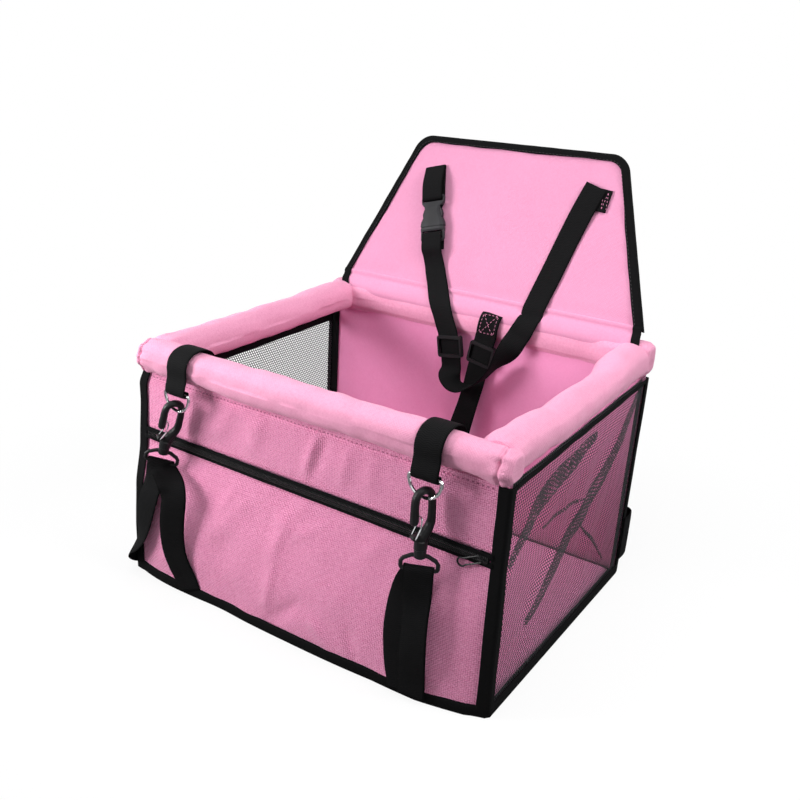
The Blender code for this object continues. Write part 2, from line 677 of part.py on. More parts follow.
def build_walls():
    """Rear wall, net sides with their top tapes, and the corner bindings."""
    inside = CHANNEL_Y - FACE_REAR + LINING
    under = reach(CHANNEL_DEPTH / 2, CHANNEL_HEIGHT / 2, ROLL_POWER, inside)
    rear_top = CHANNEL_Z - under - 2 * GAP
    outline = [(-WALL_X, WALL_FOOT), (WALL_X, WALL_FOOT), (WALL_X, rear_top), (-WALL_X, rear_top)]
    plate("rear_wall", outline, FACE_REAR - LINING, FACE_REAR, PINK, (X, Z, Y))
    y0 = FACE_FRONT + CLOTH + POCKET_SPACE + LINING + GAP
    y1 = FACE_REAR - LINING - GAP
    for name, side in (("left", -1), ("right", 1)):
        ys = np.array([y1, y1 - 0.003, y1 - 0.006, 0, y0 + 0.009, y0 + 0.006, y0 + 0.003, y0])
        outline = [(y0, WALL_FOOT), (y1, WALL_FOOT), *zip(ys, under_rim(ys))]
        faces = (side * FACE_X, side * (FACE_X - NET))
        plate(f"{name}_net", outline, *faces, BLACK_NET, (Y, Z, X))
        t0, t1 = FRONT + CORNER_LEG_SIDE + GAP, BOX_DEPTH / 2 - CORNER_LEG_SIDE - GAP
        drop = ROLL_HEIGHT / 2 - 0.001
        outline = [(t0, rim_z(t0) - drop - NET_TAPE_HEIGHT), (t1, rim_z(t1) - drop - NET_TAPE_HEIGHT)]
        outline += [(t1, rim_z(t1) - drop), (t0, rim_z(t0) - drop)]
        faces = (side * (FACE_X + GAP), side * (FACE_X + GAP + BINDING * 0.7))
        plate(f"{name}_net_tape", outline, *faces, BLACK_TAPE, (Y, Z, X))
        for where, sy in (("front", -1), ("rear", 1)):
            build_corner_binding(f"corner_binding_{where}_{name}", side, sy)


def build_corner_binding(name, sx, sy):
    """An angle of tape up a corner, from the bottom binding to the rim."""
    x0, y0 = BOX_WIDTH / 2, BOX_DEPTH / 2
    a = np.linspace(math.pi / 2, 0, 4)
    r = CORNER_RADIUS
    arc = [(x0 - r + r * math.cos(t), y0 - r + r * math.sin(t)) for t in a]
    outline = [(x0 - CORNER_LEG_FRONT, y0 - BINDING), (x0 - CORNER_LEG_FRONT, y0), *arc]
    outline += [(x0, y0 - CORNER_LEG_SIDE), (x0 - BINDING, y0 - CORNER_LEG_SIDE)]
    outline.append((x0 - BINDING, y0 - BINDING))
    outline = [(sx * x, sy * y) for x, y in outline]
    low = BINDING_HEIGHT + GAP
    if sy < 0:
        high = rim_z(-y0) - ROLL_HEIGHT / 2 - GAP
    else:
        high = CHANNEL_Z - CHANNEL_HEIGHT / 2 - GAP
    plate(name, outline, low, high, BLACK_TAPE, (X, Y, Z))


def backrest_outline(inset, foot):
    """Half of the trapezoid is mirrored: right foot, round corner, left foot."""
    height = (BACK_TOP - FOLD_Z - BACK_REAR * math.sin(BACK_LEAN)) / math.cos(BACK_LEAN)
    run = BACK_BOTTOM_HALF - BACK_TOP_HALF
    slope = math.atan2(run, height)
    # The slanting edge moves in square to itself, and the top edge moves down.
    bottom = BACK_BOTTOM_HALF - inset / math.cos(slope)
    top = height - inset
    r = max(BACK_CORNER - inset, 0.002)
    edge_x = bottom - math.tan(slope) * (top - r) - r / math.cos(slope)
    a = np.linspace(-slope * -1, math.pi / 2, 7)
    arc = [(edge_x + r * math.cos(t), top - r + r * math.sin(t)) for t in a]
    right = [(bottom - math.tan(slope) * foot, foot), *arc]
    return right + [(-x, s) for x, s in reversed(right)]


def build_backrest():
    """Board between two cloth faces in a bound edge, folding on the seam."""
    turn = Matrix.Rotation(-BACK_LEAN, 3, "X")
    hinge = pivot("backrest_pivot", (0, CHANNEL_Y, FOLD_Z), turn)
    foot = FOLD_BEAD + GAP
    board = BACK_BOARD / 2
    front = board + GAP + BACK_PAD
    back = board + GAP + BACK_SKIN
    inner = BACK_BINDING + GAP
    axes = (X, Z, Y)
    stiff = backrest_outline(inner + 0.002, foot + 0.002)
    plate("backrest_board", stiff, -board, board, BOARD, axes, hinge)
    plate("backrest_pad", backrest_outline(inner, foot), -front, -board - GAP, PINK, axes, hinge)
    plate("backrest_rear_cloth", backrest_outline(inner, foot), board + GAP, back, PINK, axes, hinge)
    out_f, out_b = front + GAP + BACK_BINDING, back + GAP + BACK_BINDING
    in_f, in_b = front + GAP, back + GAP
    deep = BACK_BINDING_REACH
    section = [(0, -out_f), (0, out_b), (deep, out_b), (deep, in_b), (BACK_BINDING, in_b)]
    section += [(BACK_BINDING, -in_f), (deep, -in_f), (deep, -out_f)]
    edges = [[(x, y, s) for x, s in backrest_outline(i, foot)] for i, y in section]
    rings = np.array(edges).transpose(1, 0, 2)
    skin("backrest_binding", rings, BLACK_TAPE, parent=hinge)
    return hinge, front


def over_sleeve(half_width, half_height, sides, first, last):
    """Webbing on a sleeve, at the corners of its section and about its axis."""
    out = GAP + WEB / 2
    ring = superellipse(half_width, half_height, ROLL_POWER, sides)
    edge = unit(np.roll(ring, -1, 0) - ring)
    normal = np.stack([edge[:, 1], -edge[:, 0]], -1)
    before = np.roll(normal, 1, 0)
    shift = (normal + before) / (1 + (normal * before).sum(1, keepdims=True))
    path = (ring + out * shift)[np.arange(first, last + 1) % sides]
    return path


def build_ring_loop(name, side):
    """A band over the front roll whose fold holds a D ring, and the ring."""
    x = side * LOOP_X
    over = over_sleeve(ROLL_WIDTH / 2, ROLL_HEIGHT / 2, ROLL_SIDES, -2, 13)
    over = on_rim([(0, FRONT_ROLL_Y + y, z) for y, z in over])[:, 1:]
    axis_y = FRONT_ROLL_Y - ROLL_WIDTH / 2 - GAP - WEB / 2
    axis_z = rim_z(FRONT_ROLL_Y) - ROLL_HEIGHT / 2 - LOOP_HANG
    wrap = RING_WIRE + GAP + WEB / 2
    a = np.radians(np.linspace(180, 360, 7))
    fold = [(axis_y + wrap * (math.cos(t)), axis_z + wrap * math.sin(t)) for t in a]
    path = [*over, *fold, (axis_y + wrap, axis_z + wrap)]
    ribbon(name + "_loop", [(x, y, z) for y, z in path], X)
    hinge = pivot(name + "_pivot", (x, axis_y, axis_z))
    w, d, r = RING_HALF_WIDTH, RING_DEPTH, RING_CORNER
    arc = np.radians(np.linspace(180, 360, 17))
    low = [(w * math.cos(t), -r - (d - r) * -math.sin(t)) for t in arc]
    bend = np.radians(np.linspace(0, 90, 4))[1:]
    right = [(w - r + r * math.cos(t), -r + r * math.sin(t)) for t in bend]
    left = [(-x0, z0) for x0, z0 in reversed(right)]
    outline = np.array([(x0, 0, z0) for x0, z0 in low + right + left])
    rings = sweep(outline, circle(RING_WIRE, 8), Y, True)
    skin(name, rings, STEEL, True, hinge, 60)
    return axis_y, axis_z


def hook_mesh():
    """The moulded hook: collar with the swivel chamber, spine, nose and gate lug."""
    half, bar, thick = HOOK_HALF, HOOK_BAR, HOOK_THICK
    base = HOOK_COLLAR_HEIGHT
    arch_z = HOOK_HEIGHT - half
    stations = [
        (0.0, base - 0.002, 0.0050, 0.0048),
        (0.0012, base + 0.0015, 0.0056, 0.0045),
        (0.6 * half, base + 0.0065, 0.0046, 0.0042),
        (half + 0.0006, base + 0.0140, bar + 0.0003, 0.0038),
        (half + 0.0008, base + 0.0230, bar, thick),
        (half, arch_z, bar, thick),
    ]
    for angle in (30, 60, 90, 120, 150):
        t = math.radians(angle)
        stations.append((half * math.cos(t), arch_z + half * math.sin(t), bar, thick))
    stations += [
        (-half, arch_z, bar, thick),
        (-half - 0.0002, arch_z - 0.008, bar + 0.0001, thick + 0.0002),
        (-half, arch_z - 0.016, bar + 0.0003, thick + 0.0003),
        (-half, arch_z - 0.0195, bar, thick),
        (-half + 0.0001, arch_z - 0.0207, bar * 0.62, thick * 0.62),
    ]
    line = smooth_through(stations, 2)
    path = [(u, 0, w) for u, w in line[:, :2]]
    ring = circle(1.0, 12)
    sections = [ring * (b, a) for a, b in line[:, 2:]]
    hook = skin("hook_body", sweep(path, sections, Y), BLACK_PLASTIC)
    r, neck = HOOK_COLLAR, SWIVEL_NECK
    bore, room = SWIVEL_POST + GAP, SWIVEL_HEAD + GAP
    top = neck + SWIVEL_HEAD_HEIGHT + 2 * GAP
    profile = [(r - 0.0005, 0), (r, 0.0005), (r, base - 0.001), (r - 0.0012, base), (0.0008, base)]
    profile += [(0.0008, top), (room, top), (room, neck), (bore, neck), (bore, 0)]
    turn = circle(1.0, 16)
    rings = [[(rad * c, rad * s, z) for c, s in turn] for rad, z in profile[:4]]
    cup = skin("collar_tool", rings, BLACK_PLASTIC)
    combine(hook, cup, "UNION")
    way = [(bore, -0.001), (bore, neck), (room, neck + 0.00001), (room, top)]
    rings = [[(rad * c, rad * s, z) for c, s in turn] for rad, z in way]
    lug = [(-half + 0.0002, base + 0.0030), (-0.0020, base + 0.0025)]
    outline = stadium(lug, 0.0021)
    lug_solid = plate("lug_tool", outline, -0.0024, 0.0024, BLACK_PLASTIC, (X, Z, Y))
    combine(hook, lug_solid, "UNION")
    combine(hook, skin("chamber_tool", rings, BLACK_PLASTIC), "DIFFERENCE")
    pin = [(-half + 0.0002, y, base + 0.0030) for y in (-0.004, 0.004)]
    combine(hook, skin("pin_tool", sweep(pin, circle(GATE_WIRE + GAP, 8), X), BOARD), "DIFFERENCE")
    return settled_mesh(hook, "snap_hook")


def stadium(ends, radius):
    """An outline of two half circles joined by straight sides."""
    (x0, z0), (x1, z1) = ends
    heading = math.atan2(z1 - z0, x1 - x0)
    points = []
    for (x, z), start in (((x1, z1), -math.pi / 2), ((x0, z0), math.pi / 2)):
        for t in np.linspace(start, start + math.pi, 7) + heading:
            points.append((x + radius * math.cos(t), z + radius * math.sin(t)))
    return points


def gate_mesh():
    """The spring wire that closes the hook: a loop through its pivot hole."""
    rise = [(0.0, 0.0), (0.0022, 0.0045), (0.0040, 0.0085), (0.0046, 0.0160)]
    leg = smooth_through(rise, 3)
    h = GATE_HALF
    up = [(u, h, w) for u, w in leg]
    down = [(u, -h, w) for u, w in leg[::-1]]
    u, w = rise[-1]
    a = np.radians(np.linspace(0, 180, 7))[1:-1]
    over = [(u, h * math.cos(t), w + 0.6 * h * math.sin(t)) for t in a]
    foot = [(0.0, y, 0.0) for y in (-0.4 * h, 0.4 * h)]
    path = up + over + down + foot
    return skin_mesh("snap_gate", sweep(path, circle(GATE_WIRE, 6), (1, 0.05, 0.02), True), True)


def eye_mesh():
    """Hub, post and head of the swivel, with the bar that the webbing passes."""
    h, d, r = EYE_HALF, EYE_DROP, EYE_BAR
    corner = 0.0016
    shape = [(-h, -d + corner), (-h + corner * 0.3, -d + corner * 0.3), (-h + corner, -d)]
    shape += [(h - corner, -d), (h - corner * 0.3, -d + corner * 0.3), (h, -d + corner)]
    shape += [(h, -0.0125), (h - 0.002, -0.0095), (0.0070, -0.0062), (0.0, -0.0050)]
    shape += [(-0.0070, -0.0062), (-h + 0.002, -0.0095), (-h, -0.0125)]
    path = np.array([(x, 0, z) for x, z in shape])
    loop = skin("eye_body", sweep(path, circle(r, 8), Y, True), BLACK_PLASTIC, True)
    hub = EYE_HUB
    turn = circle(1.0, 16)
    head = SWIVEL_NECK + GAP
    profile = [(0.6 * hub, -0.0085), (hub, -0.0070), (hub, -GAP - 0.0004), (hub - 0.0004, -GAP)]
    profile += [(SWIVEL_POST, -GAP + 0.00001), (SWIVEL_POST, head), (SWIVEL_HEAD, head + 0.00001)]
    profile += [(SWIVEL_HEAD, head + SWIVEL_HEAD_HEIGHT - 0.0006), (SWIVEL_POST, head + SWIVEL_HEAD_HEIGHT)]
    rings = [[(rad * c, rad * s, z) for c, s in turn] for rad, z in profile]
    combine(loop, skin("post_tool", rings, BLACK_PLASTIC), "UNION")
    return settled_mesh(loop, "snap_eye")


def build_snap(name, meshes, location, frame, hook_turn, eye_turn):
    """A snap hook at its swivel point; frame turns its long axis."""
    hook_body, gate, eye = meshes
    eye_frame = frame @ Matrix.Rotation(eye_turn, 3, "Z")
    hook_frame = frame @ Matrix.Rotation(hook_turn, 3, "Z")
    place(f"{name}_eye", eye, BLACK_PLASTIC, pivot(f"{name}_eye_pivot", location, eye_frame), 50)
    swivel = pivot(f"{name}_pivot", location, hook_frame)
    place(f"{name}_hook", hook_body, BLACK_PLASTIC, swivel, 50)
    pin = (-HOOK_HALF + 0.0002, 0, HOOK_COLLAR_HEIGHT + 0.0030)
    place_at = np.array(hook_frame) @ np.array(pin) + np.array(location)
    place(f"{name}_gate", gate, STEEL, pivot(f"{name}_gate_pivot", place_at, hook_frame), 60)
    return eye_frame


def build_front_hooks(meshes, ring_y, ring_z):
    """Left and right snap hooks on the D rings, with their doubled straps."""
    nose = HOOK_HEIGHT - HOOK_BAR - RING_WIRE - NOSE_PLAY
    wire_z = ring_z - RING_DEPTH
    straight = Matrix.Identity(3)
    right = (LOOP_X, ring_y, wire_z - nose)
    frame = build_snap("right_snap", meshes, right, straight, HOOK_TURN, RIGHT_EYE_TURN)
    build_right_strap(np.array(right), frame)
    tilt = Matrix.Rotation(LEFT_HOOK_TILT, 3, "Y")
    axis = np.array(tilt) @ Z
    pull = RING_DEPTH - RING_CORNER
    left = np.array((-LOOP_X, ring_y, ring_z - RING_CORNER)) - axis * (pull + nose)
    frame = build_snap("left_snap", meshes, tuple(left), tilt, HOOK_TURN, LEFT_EYE_TURN)
    build_left_strap(left, frame)


def round_bar(centre, frame, start, end, radius, count=7):
    """Points round an eye's bar, from start to end degrees about it."""
    frame = np.array(frame)
    a = np.radians(np.linspace(start, end, count))[:, None]
    return centre + radius * (np.cos(a) * (frame @ Y) + np.sin(a) * (frame @ Z))


def bar_point(origin, frame):
    return origin - np.array(frame) @ Z * EYE_DROP


def build_strap(name, origin, frame, front_run, rear_run):
    """Doubled webbing from an eye's bar down to the bottom edge of the box."""
    radius = EYE_BAR + GAP + WEB / 2
    over = round_bar(bar_point(origin, frame), frame, 0, 180, radius)
    bar = np.array(frame) @ X
    down = -np.array(frame) @ Z * 0.010
    rear_run = [(over[0], bar), (over[0] + down, bar), *rear_run]
    front_run = [(over[-1], bar), (over[-1] + down, bar), *front_run]
    rear, rear_side = rows_through(rear_run, 3)
    front, front_side = rows_through(front_run, 3)
    path = np.vstack([rear[:0:-1], over, front[1:]])
    side = np.vstack([rear_side[:0:-1], np.tile(bar, (len(over), 1)), front_side[1:]])
    ribbon(name, path, side)


def at_foot(x, z, layer=0, out=0.0):
    """Where a strap is sewn on the bottom binding: its point and width direction."""
    step = 0.001
    slope = (bow(x + step) - bow(x - step)) / (2 * step)
    y = FRONT - bow(x) - GAP - WEB / 2 - layer * (WEB + 2 * GAP) - out
    return (x, y, z), unit((1.0, -slope, 0.0))


def build_right_strap(origin, frame):
    """The front strand falls straight; the rear one swings in towards the middle."""
    x, y, z = origin
    foot, low = LOOP_X + 0.001, BINDING_HEIGHT * 0.45
    front = [
        ((x + 0.001, y - 0.001, z * 0.60), X),
        at_foot(foot + 0.001, z * 0.30, 1, 0.0055),
        at_foot(foot, low + 0.014, 1, 0.0008),
        at_foot(foot, low, 1),
    ]
    inner = foot - 0.0125
    rear = [
        ((x - 0.0075, y + 0.003, z * 0.64), unit((0.98, 0.12, 0))),
        at_foot(inner - 0.0055, z * 0.40, 0, 0.0014),
        at_foot(inner - 0.0045, low + 0.022, 0, 0.0004),
        at_foot(inner - 0.0015, low + 0.008),
        at_foot(inner, low),
    ]
    build_strap("right_strap", origin, frame, front, rear)


def build_left_strap(origin, frame):
    """One strand falls to the front edge, the other goes round the box corner."""
    x, y, z = origin
    foot, low = -LOOP_X - 0.0075, BINDING_HEIGHT * 0.45
    front = [
        ((foot - 0.0145, y - 0.003, z * 0.62), X),
        at_foot(foot - 0.0150, z * 0.36, 0, 0.0055),
        at_foot(foot - 0.0110, z * 0.23, 0, 0.0035),
        at_foot(foot - 0.0040, low + 0.0125, 0, 0.0008),
        at_foot(foot, low + 0.0020, 0, 0.0001),
    ]
    corner, face = -BOX_WIDTH / 2, -BOX_WIDTH / 2 - GAP - WEB / 2
    rear = [
        ((corner + 0.0185, FRONT - 0.0130, z * 0.64), unit((0.90, -0.44, 0))),
        ((corner - 0.0015, FRONT - 0.0105, z * 0.42), unit((0.65, -0.76, 0))),
        ((face - 0.0060, FRONT + 0.0020, z * 0.25), unit((0.16, -0.98, 0))),
        ((face - 0.0034, FRONT + 0.0150, low + 0.0160), -Y),
        ((face - 0.0008, FRONT + 0.0200, low + 0.0060), -Y),
        ((face - 0.0002, FRONT + 0.0215, low), -Y),
    ]
    build_strap("left_strap", origin, frame, front, rear)


def female_rings(shrink=0.0):
    """Outer shape of the buckle's socket: hourglass, thinner towards the bar."""
    m, w, length = BUCKLE_MOUTH_HALF, BUCKLE_WAIST_HALF, BUCKLE_LENGTH
    t = BUCKLE_THICK / 2
    shape = [
        (0.0, m - 0.0004, t - 0.0003),
        (0.03, m, t),
        (0.16, m - 0.0008, t),
        (0.36, w + 0.0014, t),
        (0.50, w, t - 0.0001),
        (0.62, w + 0.0012, t - 0.0004),
        (0.75, m - 0.0012, t - 0.0010),
        (0.90, m - 0.0003, t - 0.0019),
        (1.0, m - 0.0016, t - 0.0024),
    ]
    rings = []
    for share, half, thick in shape:
        ring = superellipse(half, thick, 5.0, 20)
        rings.append([(x, y, share * length) for x, y in ring])
    return rings


def build_buckle(hinge, front):
    """Side-release buckle on the backrest: socket, plug and two spring arms."""
    lean = Matrix.Rotation(-BACK_LEAN, 3, "X")
    tilt = Matrix.Rotation(-BUCKLE_TILT, 3, "Y")
    local = np.array((BUCKLE_X, -front - BUCKLE_LIFT, BUCKLE_UP))
    at = np.array(lean) @ local + (0, CHANNEL_Y, FOLD_Z)
    frame = lean @ tilt
    seat = pivot("buckle_pivot", tuple(at), frame)
    m, length = BUCKLE_MOUTH_HALF, BUCKLE_LENGTH
    inner = BUCKLE_THICK / 2 - BUCKLE_WALL
    socket = skin("socket_body", female_rings(), GREY_PLASTIC)
    ledge = 0.29 * length
    room_end = 0.70 * length
    mouth = 0.68 * m
    combine(socket, box_tool((-mouth, -inner, -0.001), (mouth, inner, room_end)), "DIFFERENCE")
    combine(socket, box_tool((-m * 1.3, -inner, ledge), (m * 1.3, inner, room_end - 0.001)), "DIFFERENCE")
    web = WEB_WIDTH / 2 + GAP
    slot0, slot1 = length - BAR_SLOT[1], length - BAR_SLOT[0]
    combine(socket, box_tool((-web, -0.02, slot0), (web, 0.02, slot1)), "DIFFERENCE")
    place("buckle_socket", settled_mesh(socket, "buckle_socket"), GREY_PLASTIC, seat, 40)
    thick = inner - BUCKLE_CLEARANCE
    plug_bottom = -PLUG_LENGTH
    shape = [
        (-0.0004, m - 0.0006, BUCKLE_THICK / 2 - 0.0004),
        (-0.0028, m, BUCKLE_THICK / 2 - 0.0006),
        (-0.0055, m, 0.0026),
        (plug_bottom + 0.0030, m, 0.0023),
        (plug_bottom, m - 0.0020, 0.0018),
    ]
    rings = [[(x, y, z) for x, y in superellipse(h, t, 5.0, 20)] for z, h, t in shape]
    plug = skin("plug_body", rings, GREY_PLASTIC)
    root = ARM_ROOT_X
    tongue = box_tool((-0.0026, -thick, -0.002), (0.0026, thick, 0.55 * length))
    combine(plug, tongue, "UNION")
    combine(plug, box_tool((-web, -0.02, -0.0086), (web, 0.02, -0.0048)), "DIFFERENCE")
    combine(plug, box_tool((-web, -0.02, -0.0138), (web, 0.02, -0.0106)), "DIFFERENCE")
    place("buckle_plug", settled_mesh(plug, "buckle_plug"), GREY_PLASTIC, seat, 40)
    for name, side in (("left", -1), ("right", 1)):
        build_buckle_arm(name, side, at, frame, root, thick, ledge, mouth)
    return at, frame


def build_buckle_arm(name, side, at, frame, root, thick, ledge, mouth):
    """A spring arm: it rises inside the mouth and its pad fills the side window."""
    foot = np.array(frame) @ (side * root, 0, GAP) + at
    arm = pivot(f"buckle_arm_{name}_pivot", tuple(foot), frame)
    w = ARM_WIDTH
    step = mouth - GAP - root
    pad = BUCKLE_WAIST_HALF + 0.0026 - root
    z1 = ledge + GAP
    top = 0.66 * BUCKLE_LENGTH
    rise = top - z1
    outer = [(0.6 * w, 0.0), (step - 0.0010, 0.4 * z1), (step, z1 - 2 * GAP), (pad, z1)]
    outer += [(pad + 0.0004, z1 + 0.30 * rise), (pad - 0.0012, z1 + 0.65 * rise)]
    outer += [(step - 0.0022, top - 0.0008)]
    inner = [(step - 0.0040, top - 0.0016), (pad - 0.0012 - w, z1 + 0.60 * rise)]
    inner += [(pad - w - 0.0002, z1 + 0.1 * rise), (step - w, z1 - 0.001)]
    inner += [(step - w - 0.0008, 0.4 * z1), (-0.6 * w, 0.0)]
    outline = [(side * x, z) for x, z in outer + inner]
    plate(f"buckle_arm_{name}", outline, -thick, thick, GREY_PLASTIC, (X, Z, Y), arm)


def on_backrest(x, up, lift):
    """A point by the backrest: across, along its slope, and out from its middle."""
    lean = np.array(Matrix.Rotation(-BACK_LEAN, 3, "X"))
    return lean @ (x, -lift, up) + (0, CHANNEL_Y, FOLD_Z)


def build_headrest_straps(front, at, frame):
    """The short loop of the socket, and the long strap from plug to far corner."""
    frame = np.array(frame)
    flat = front + GAP + WEB / 2
    side = frame @ X
    up, through = frame @ Z, frame @ Y
    top_x, top_up = STRAP_TOP_LEFT
    back = [
        on_backrest(top_x, top_up, flat),
        at + up * (BUCKLE_LENGTH + 0.010) + through * 0.0040,
        at + up * (BUCKLE_LENGTH + 0.003) + through * 0.0039,
        at + up * (BUCKLE_LENGTH - 0.0012) + through * 0.0038,
        at + up * (BUCKLE_LENGTH - 0.0043) + through * 0.0033,
    ]
    front_run = [p - 2 * np.dot(p - at, through) * through for p in back[:0:-1]]
    front_run.append(on_backrest(top_x, top_up, flat + WEB + GAP))
    slot = at + up * (BUCKLE_LENGTH - 0.0053)
    ribbon("socket_strap", [*back, slot, *front_run], side)
    build_long_strap(at, frame, flat)


def beside_channel(x, angle):
    """A strap point on the round of the rear channel, angle from its rear."""
    c, s = math.cos(math.radians(angle)), math.sin(math.radians(angle))
    size = (abs(c) ** ROLL_POWER + abs(s) ** ROLL_POWER) ** (-1 / ROLL_POWER)
    rise = GAP + WEB / 2 + 0.0013 + 0.003 * max(0.0, s - 0.5)
    y = (CHANNEL_DEPTH / 2 + rise) * c * size
    z = (CHANNEL_HEIGHT / 2 + rise) * s * size
    return np.array((x, CHANNEL_Y + y, CHANNEL_Z + z))


def strap_hang(x, drop, forward):
    """A hanging strap point: below and in front of the rear channel's axis."""
    return np.array((x, CHANNEL_Y - forward, CHANNEL_Z - drop))


def build_long_strap(at, frame, flat):
    """From the plug down over the fold, round its loop and up to the far corner."""
    plug = frame @ X
    wrap = [(0.0034, -0.0260), (0.0034, -0.0150), (0.0034, -0.0096), (0.0030, -0.0072), (0.0, -0.0064)]
    wrap += [(-y, z) for y, z in wrap[-2::-1]]
    start = [(frame @ (0, y, z) + at, plug) for y, z in wrap]
    glide, up = glide_point(), glide_axis()
    across = unit(np.cross(Y, up))
    left = [
        (on_backrest(-0.0660, 0.033, flat + 0.0010), X),
        (on_backrest(-0.0580, 0.012, flat + 0.0010), X),
        (on_backrest(-0.0520, 0.003, flat + 0.0022), X),
        *[(beside_channel(x, a), X) for x, a in zip(LEFT_OVER, OVER_ANGLES)],
    ]
    straight = [(glide + up * d, across) for d in (0.0190, 0.0135, 0.0, -0.0180, -0.0230)]
    edge = unit((0.22, 0.96, 0.16))
    front = STRAP_LOOP_FORWARD
    bottom = [
        (strap_hang(-0.0165, 0.0610, front - 0.005), unit((0.80, 0.60, 0.10))),
        (strap_hang(-0.0090, 0.0690, front - 0.001), edge),
        (strap_hang(0.0020, 0.0705, front), edge),
        (strap_hang(0.0200, 0.0610, front), edge),
        (strap_hang(0.0380, 0.0400, front - 0.001), edge),
        (strap_hang(0.0510, 0.0190, front - 0.006), unit((0.75, 0.62, -0.15))),
    ]
    right = [
        *[(beside_channel(x, a), X) for x, a in zip(RIGHT_OVER, OVER_ANGLES[::-1])],
        (on_backrest(0.0675, 0.003, flat + 0.0022), X),
        (on_backrest(0.0690, 0.012, flat + 0.0010), X),
        (on_backrest(0.0755, 0.040, flat + 0.0006), X),
        (on_backrest(0.0850, 0.083, flat + 0.0003), X),
        (on_backrest(0.0940, 0.116, flat), X),
        (on_backrest(*STRAP_TOP_RIGHT, flat), X),
    ]
    path, sides = rows_through([*start, *left, *straight, *bottom, *right], 2)
    ribbon("headrest_strap", path, sides)


def glide_axis():
    """Direction of the hanging left strand, upward."""
    return unit(np.array((-0.16, 0.0, 1.0)))


def glide_point():
    return strap_hang(-0.0225, GLIDE_DROP, STRAP_FORWARD)


def glide_mesh():
    """A tri-glide: end bars in front of the webbing, the middle bar behind it."""
    hw, hl, plate_t = GLIDE_WIDTH / 2, GLIDE_LENGTH / 2, GLIDE_PLATE
    gap = WEB / 2 + GAP
    half = gap + plate_t
    r = 0.0030
    a = np.radians(np.linspace(0, 90, 4))
    quarter = [(hw - r + r * math.cos(t), hl - r + r * math.sin(t)) for t in a]
    outline = quarter + [(-x, z) for x, z in quarter[::-1]]
    outline += [(-x, -z) for x, z in quarter] + [(x, -z) for x, z in quarter[::-1]]
    body = plate("glide_body", outline, -half, half, BLACK_PLASTIC, (X, Z, Y))
    inner = WEB_WIDTH / 2 + GAP
    far = hl + 0.002
    combine(body, box_tool((-inner, -gap, -far), (inner, gap, far)), "DIFFERENCE")
    window = hl - GLIDE_BAR
    combine(body, box_tool((-inner, -far, -window), (inner, -gap / 2, window)), "DIFFERENCE")
    bar = GLIDE_BAR * 0.75
    combine(body, box_tool((-inner, gap / 2, bar), (inner, far, far)), "DIFFERENCE")
    combine(body, box_tool((-inner, gap / 2, -far), (inner, far, -bar)), "DIFFERENCE")
    return settled_mesh(body, "tri_glide")


def frame_from(across, up):
    """A rotation whose X runs across the webbing and whose Z runs along it."""
    up = unit(up)
    across = unit(across - np.dot(across, up) * up)
    back = np.cross(up, across)
    return Matrix(np.column_stack([across, back, up]).tolist())


def build_glides(mesh):
    """The glide of the headrest strap and the glide of the tether."""
    up = glide_axis()
    frame = frame_from(np.cross(Y, up), up)
    place("strap_glide", mesh, BLACK_PLASTIC, pivot("strap_glide_pivot", tuple(glide_point()), frame))
    top, low = tether_straight()
    up = unit(top - low)
    frame = frame_from(X, up)
    centre = tether_glide_point()
    place("tether_glide", mesh, BLACK_PLASTIC, pivot("tether_glide_pivot", tuple(centre), frame))


def tether_straight():
    """The straight run of the tether that its glide slides on."""
    top = strap_hang(TETHER_X - 0.0052, 0.0145, TETHER_FORWARD)
    low = strap_hang(TETHER_X - 0.0130, 0.0620, TETHER_FORWARD)
    return top, low


def tether_glide_point():
    top, low = tether_straight()
    return top + (low - top) * (CHANNEL_Z - TETHER_GLIDE_DROP - top[2]) / (low[2] - top[2])


def build_tether(meshes):
    """The sewn tab, the hanging webbing and the snap hook for the harness."""
    top, low = tether_straight()
    tab = over_sleeve(CHANNEL_DEPTH / 2, CHANNEL_HEIGHT / 2, CHANNEL_SIDES, 10, 16)
    xs = np.linspace(TETHER_X, TETHER_X - 0.0035, len(tab))
    tab = np.column_stack([xs, tab + (CHANNEL_Y, CHANNEL_Z)])
    centre = np.array(TETHER_END)
    frame = Matrix.Rotation(math.pi, 3, "X") @ Matrix.Rotation(TETHER_TURN, 3, "Z")
    bar = np.array(frame) @ X
    over = round_bar(centre, frame, 180, 0, EYE_BAR + GAP + WEB / 2)
    steep = over[0] + (0, 0, 0.012)
    fall = (low + steep) / 2 + (0.0010, -0.002, 0)
    run = [(top, X), (top + (low - top) * 0.1, X), (top + (low - top) * 0.9, X), (low, X)]
    hang, hang_sides = rows_through([*run, (fall, X), (steep, bar), (over[0], bar)], 3)
    back = [over[-1] + (0.0, 0.0008, 0.008), over[-1] + (0.0008, 0.0006, 0.020)]
    path = np.vstack([tab, hang[:-1], over, back])
    sides = np.vstack([np.tile(X, (len(tab), 1)), hang_sides[:-1], np.tile(bar, (len(over) + 2, 1))])
    ribbon("tether_strap", path, sides)
    origin = centre - (0, 0, EYE_DROP)
    turned = Matrix.Rotation(math.pi, 3, "X")
    build_snap("tether_snap", meshes, tuple(origin), turned, math.radians(20), TETHER_TURN)


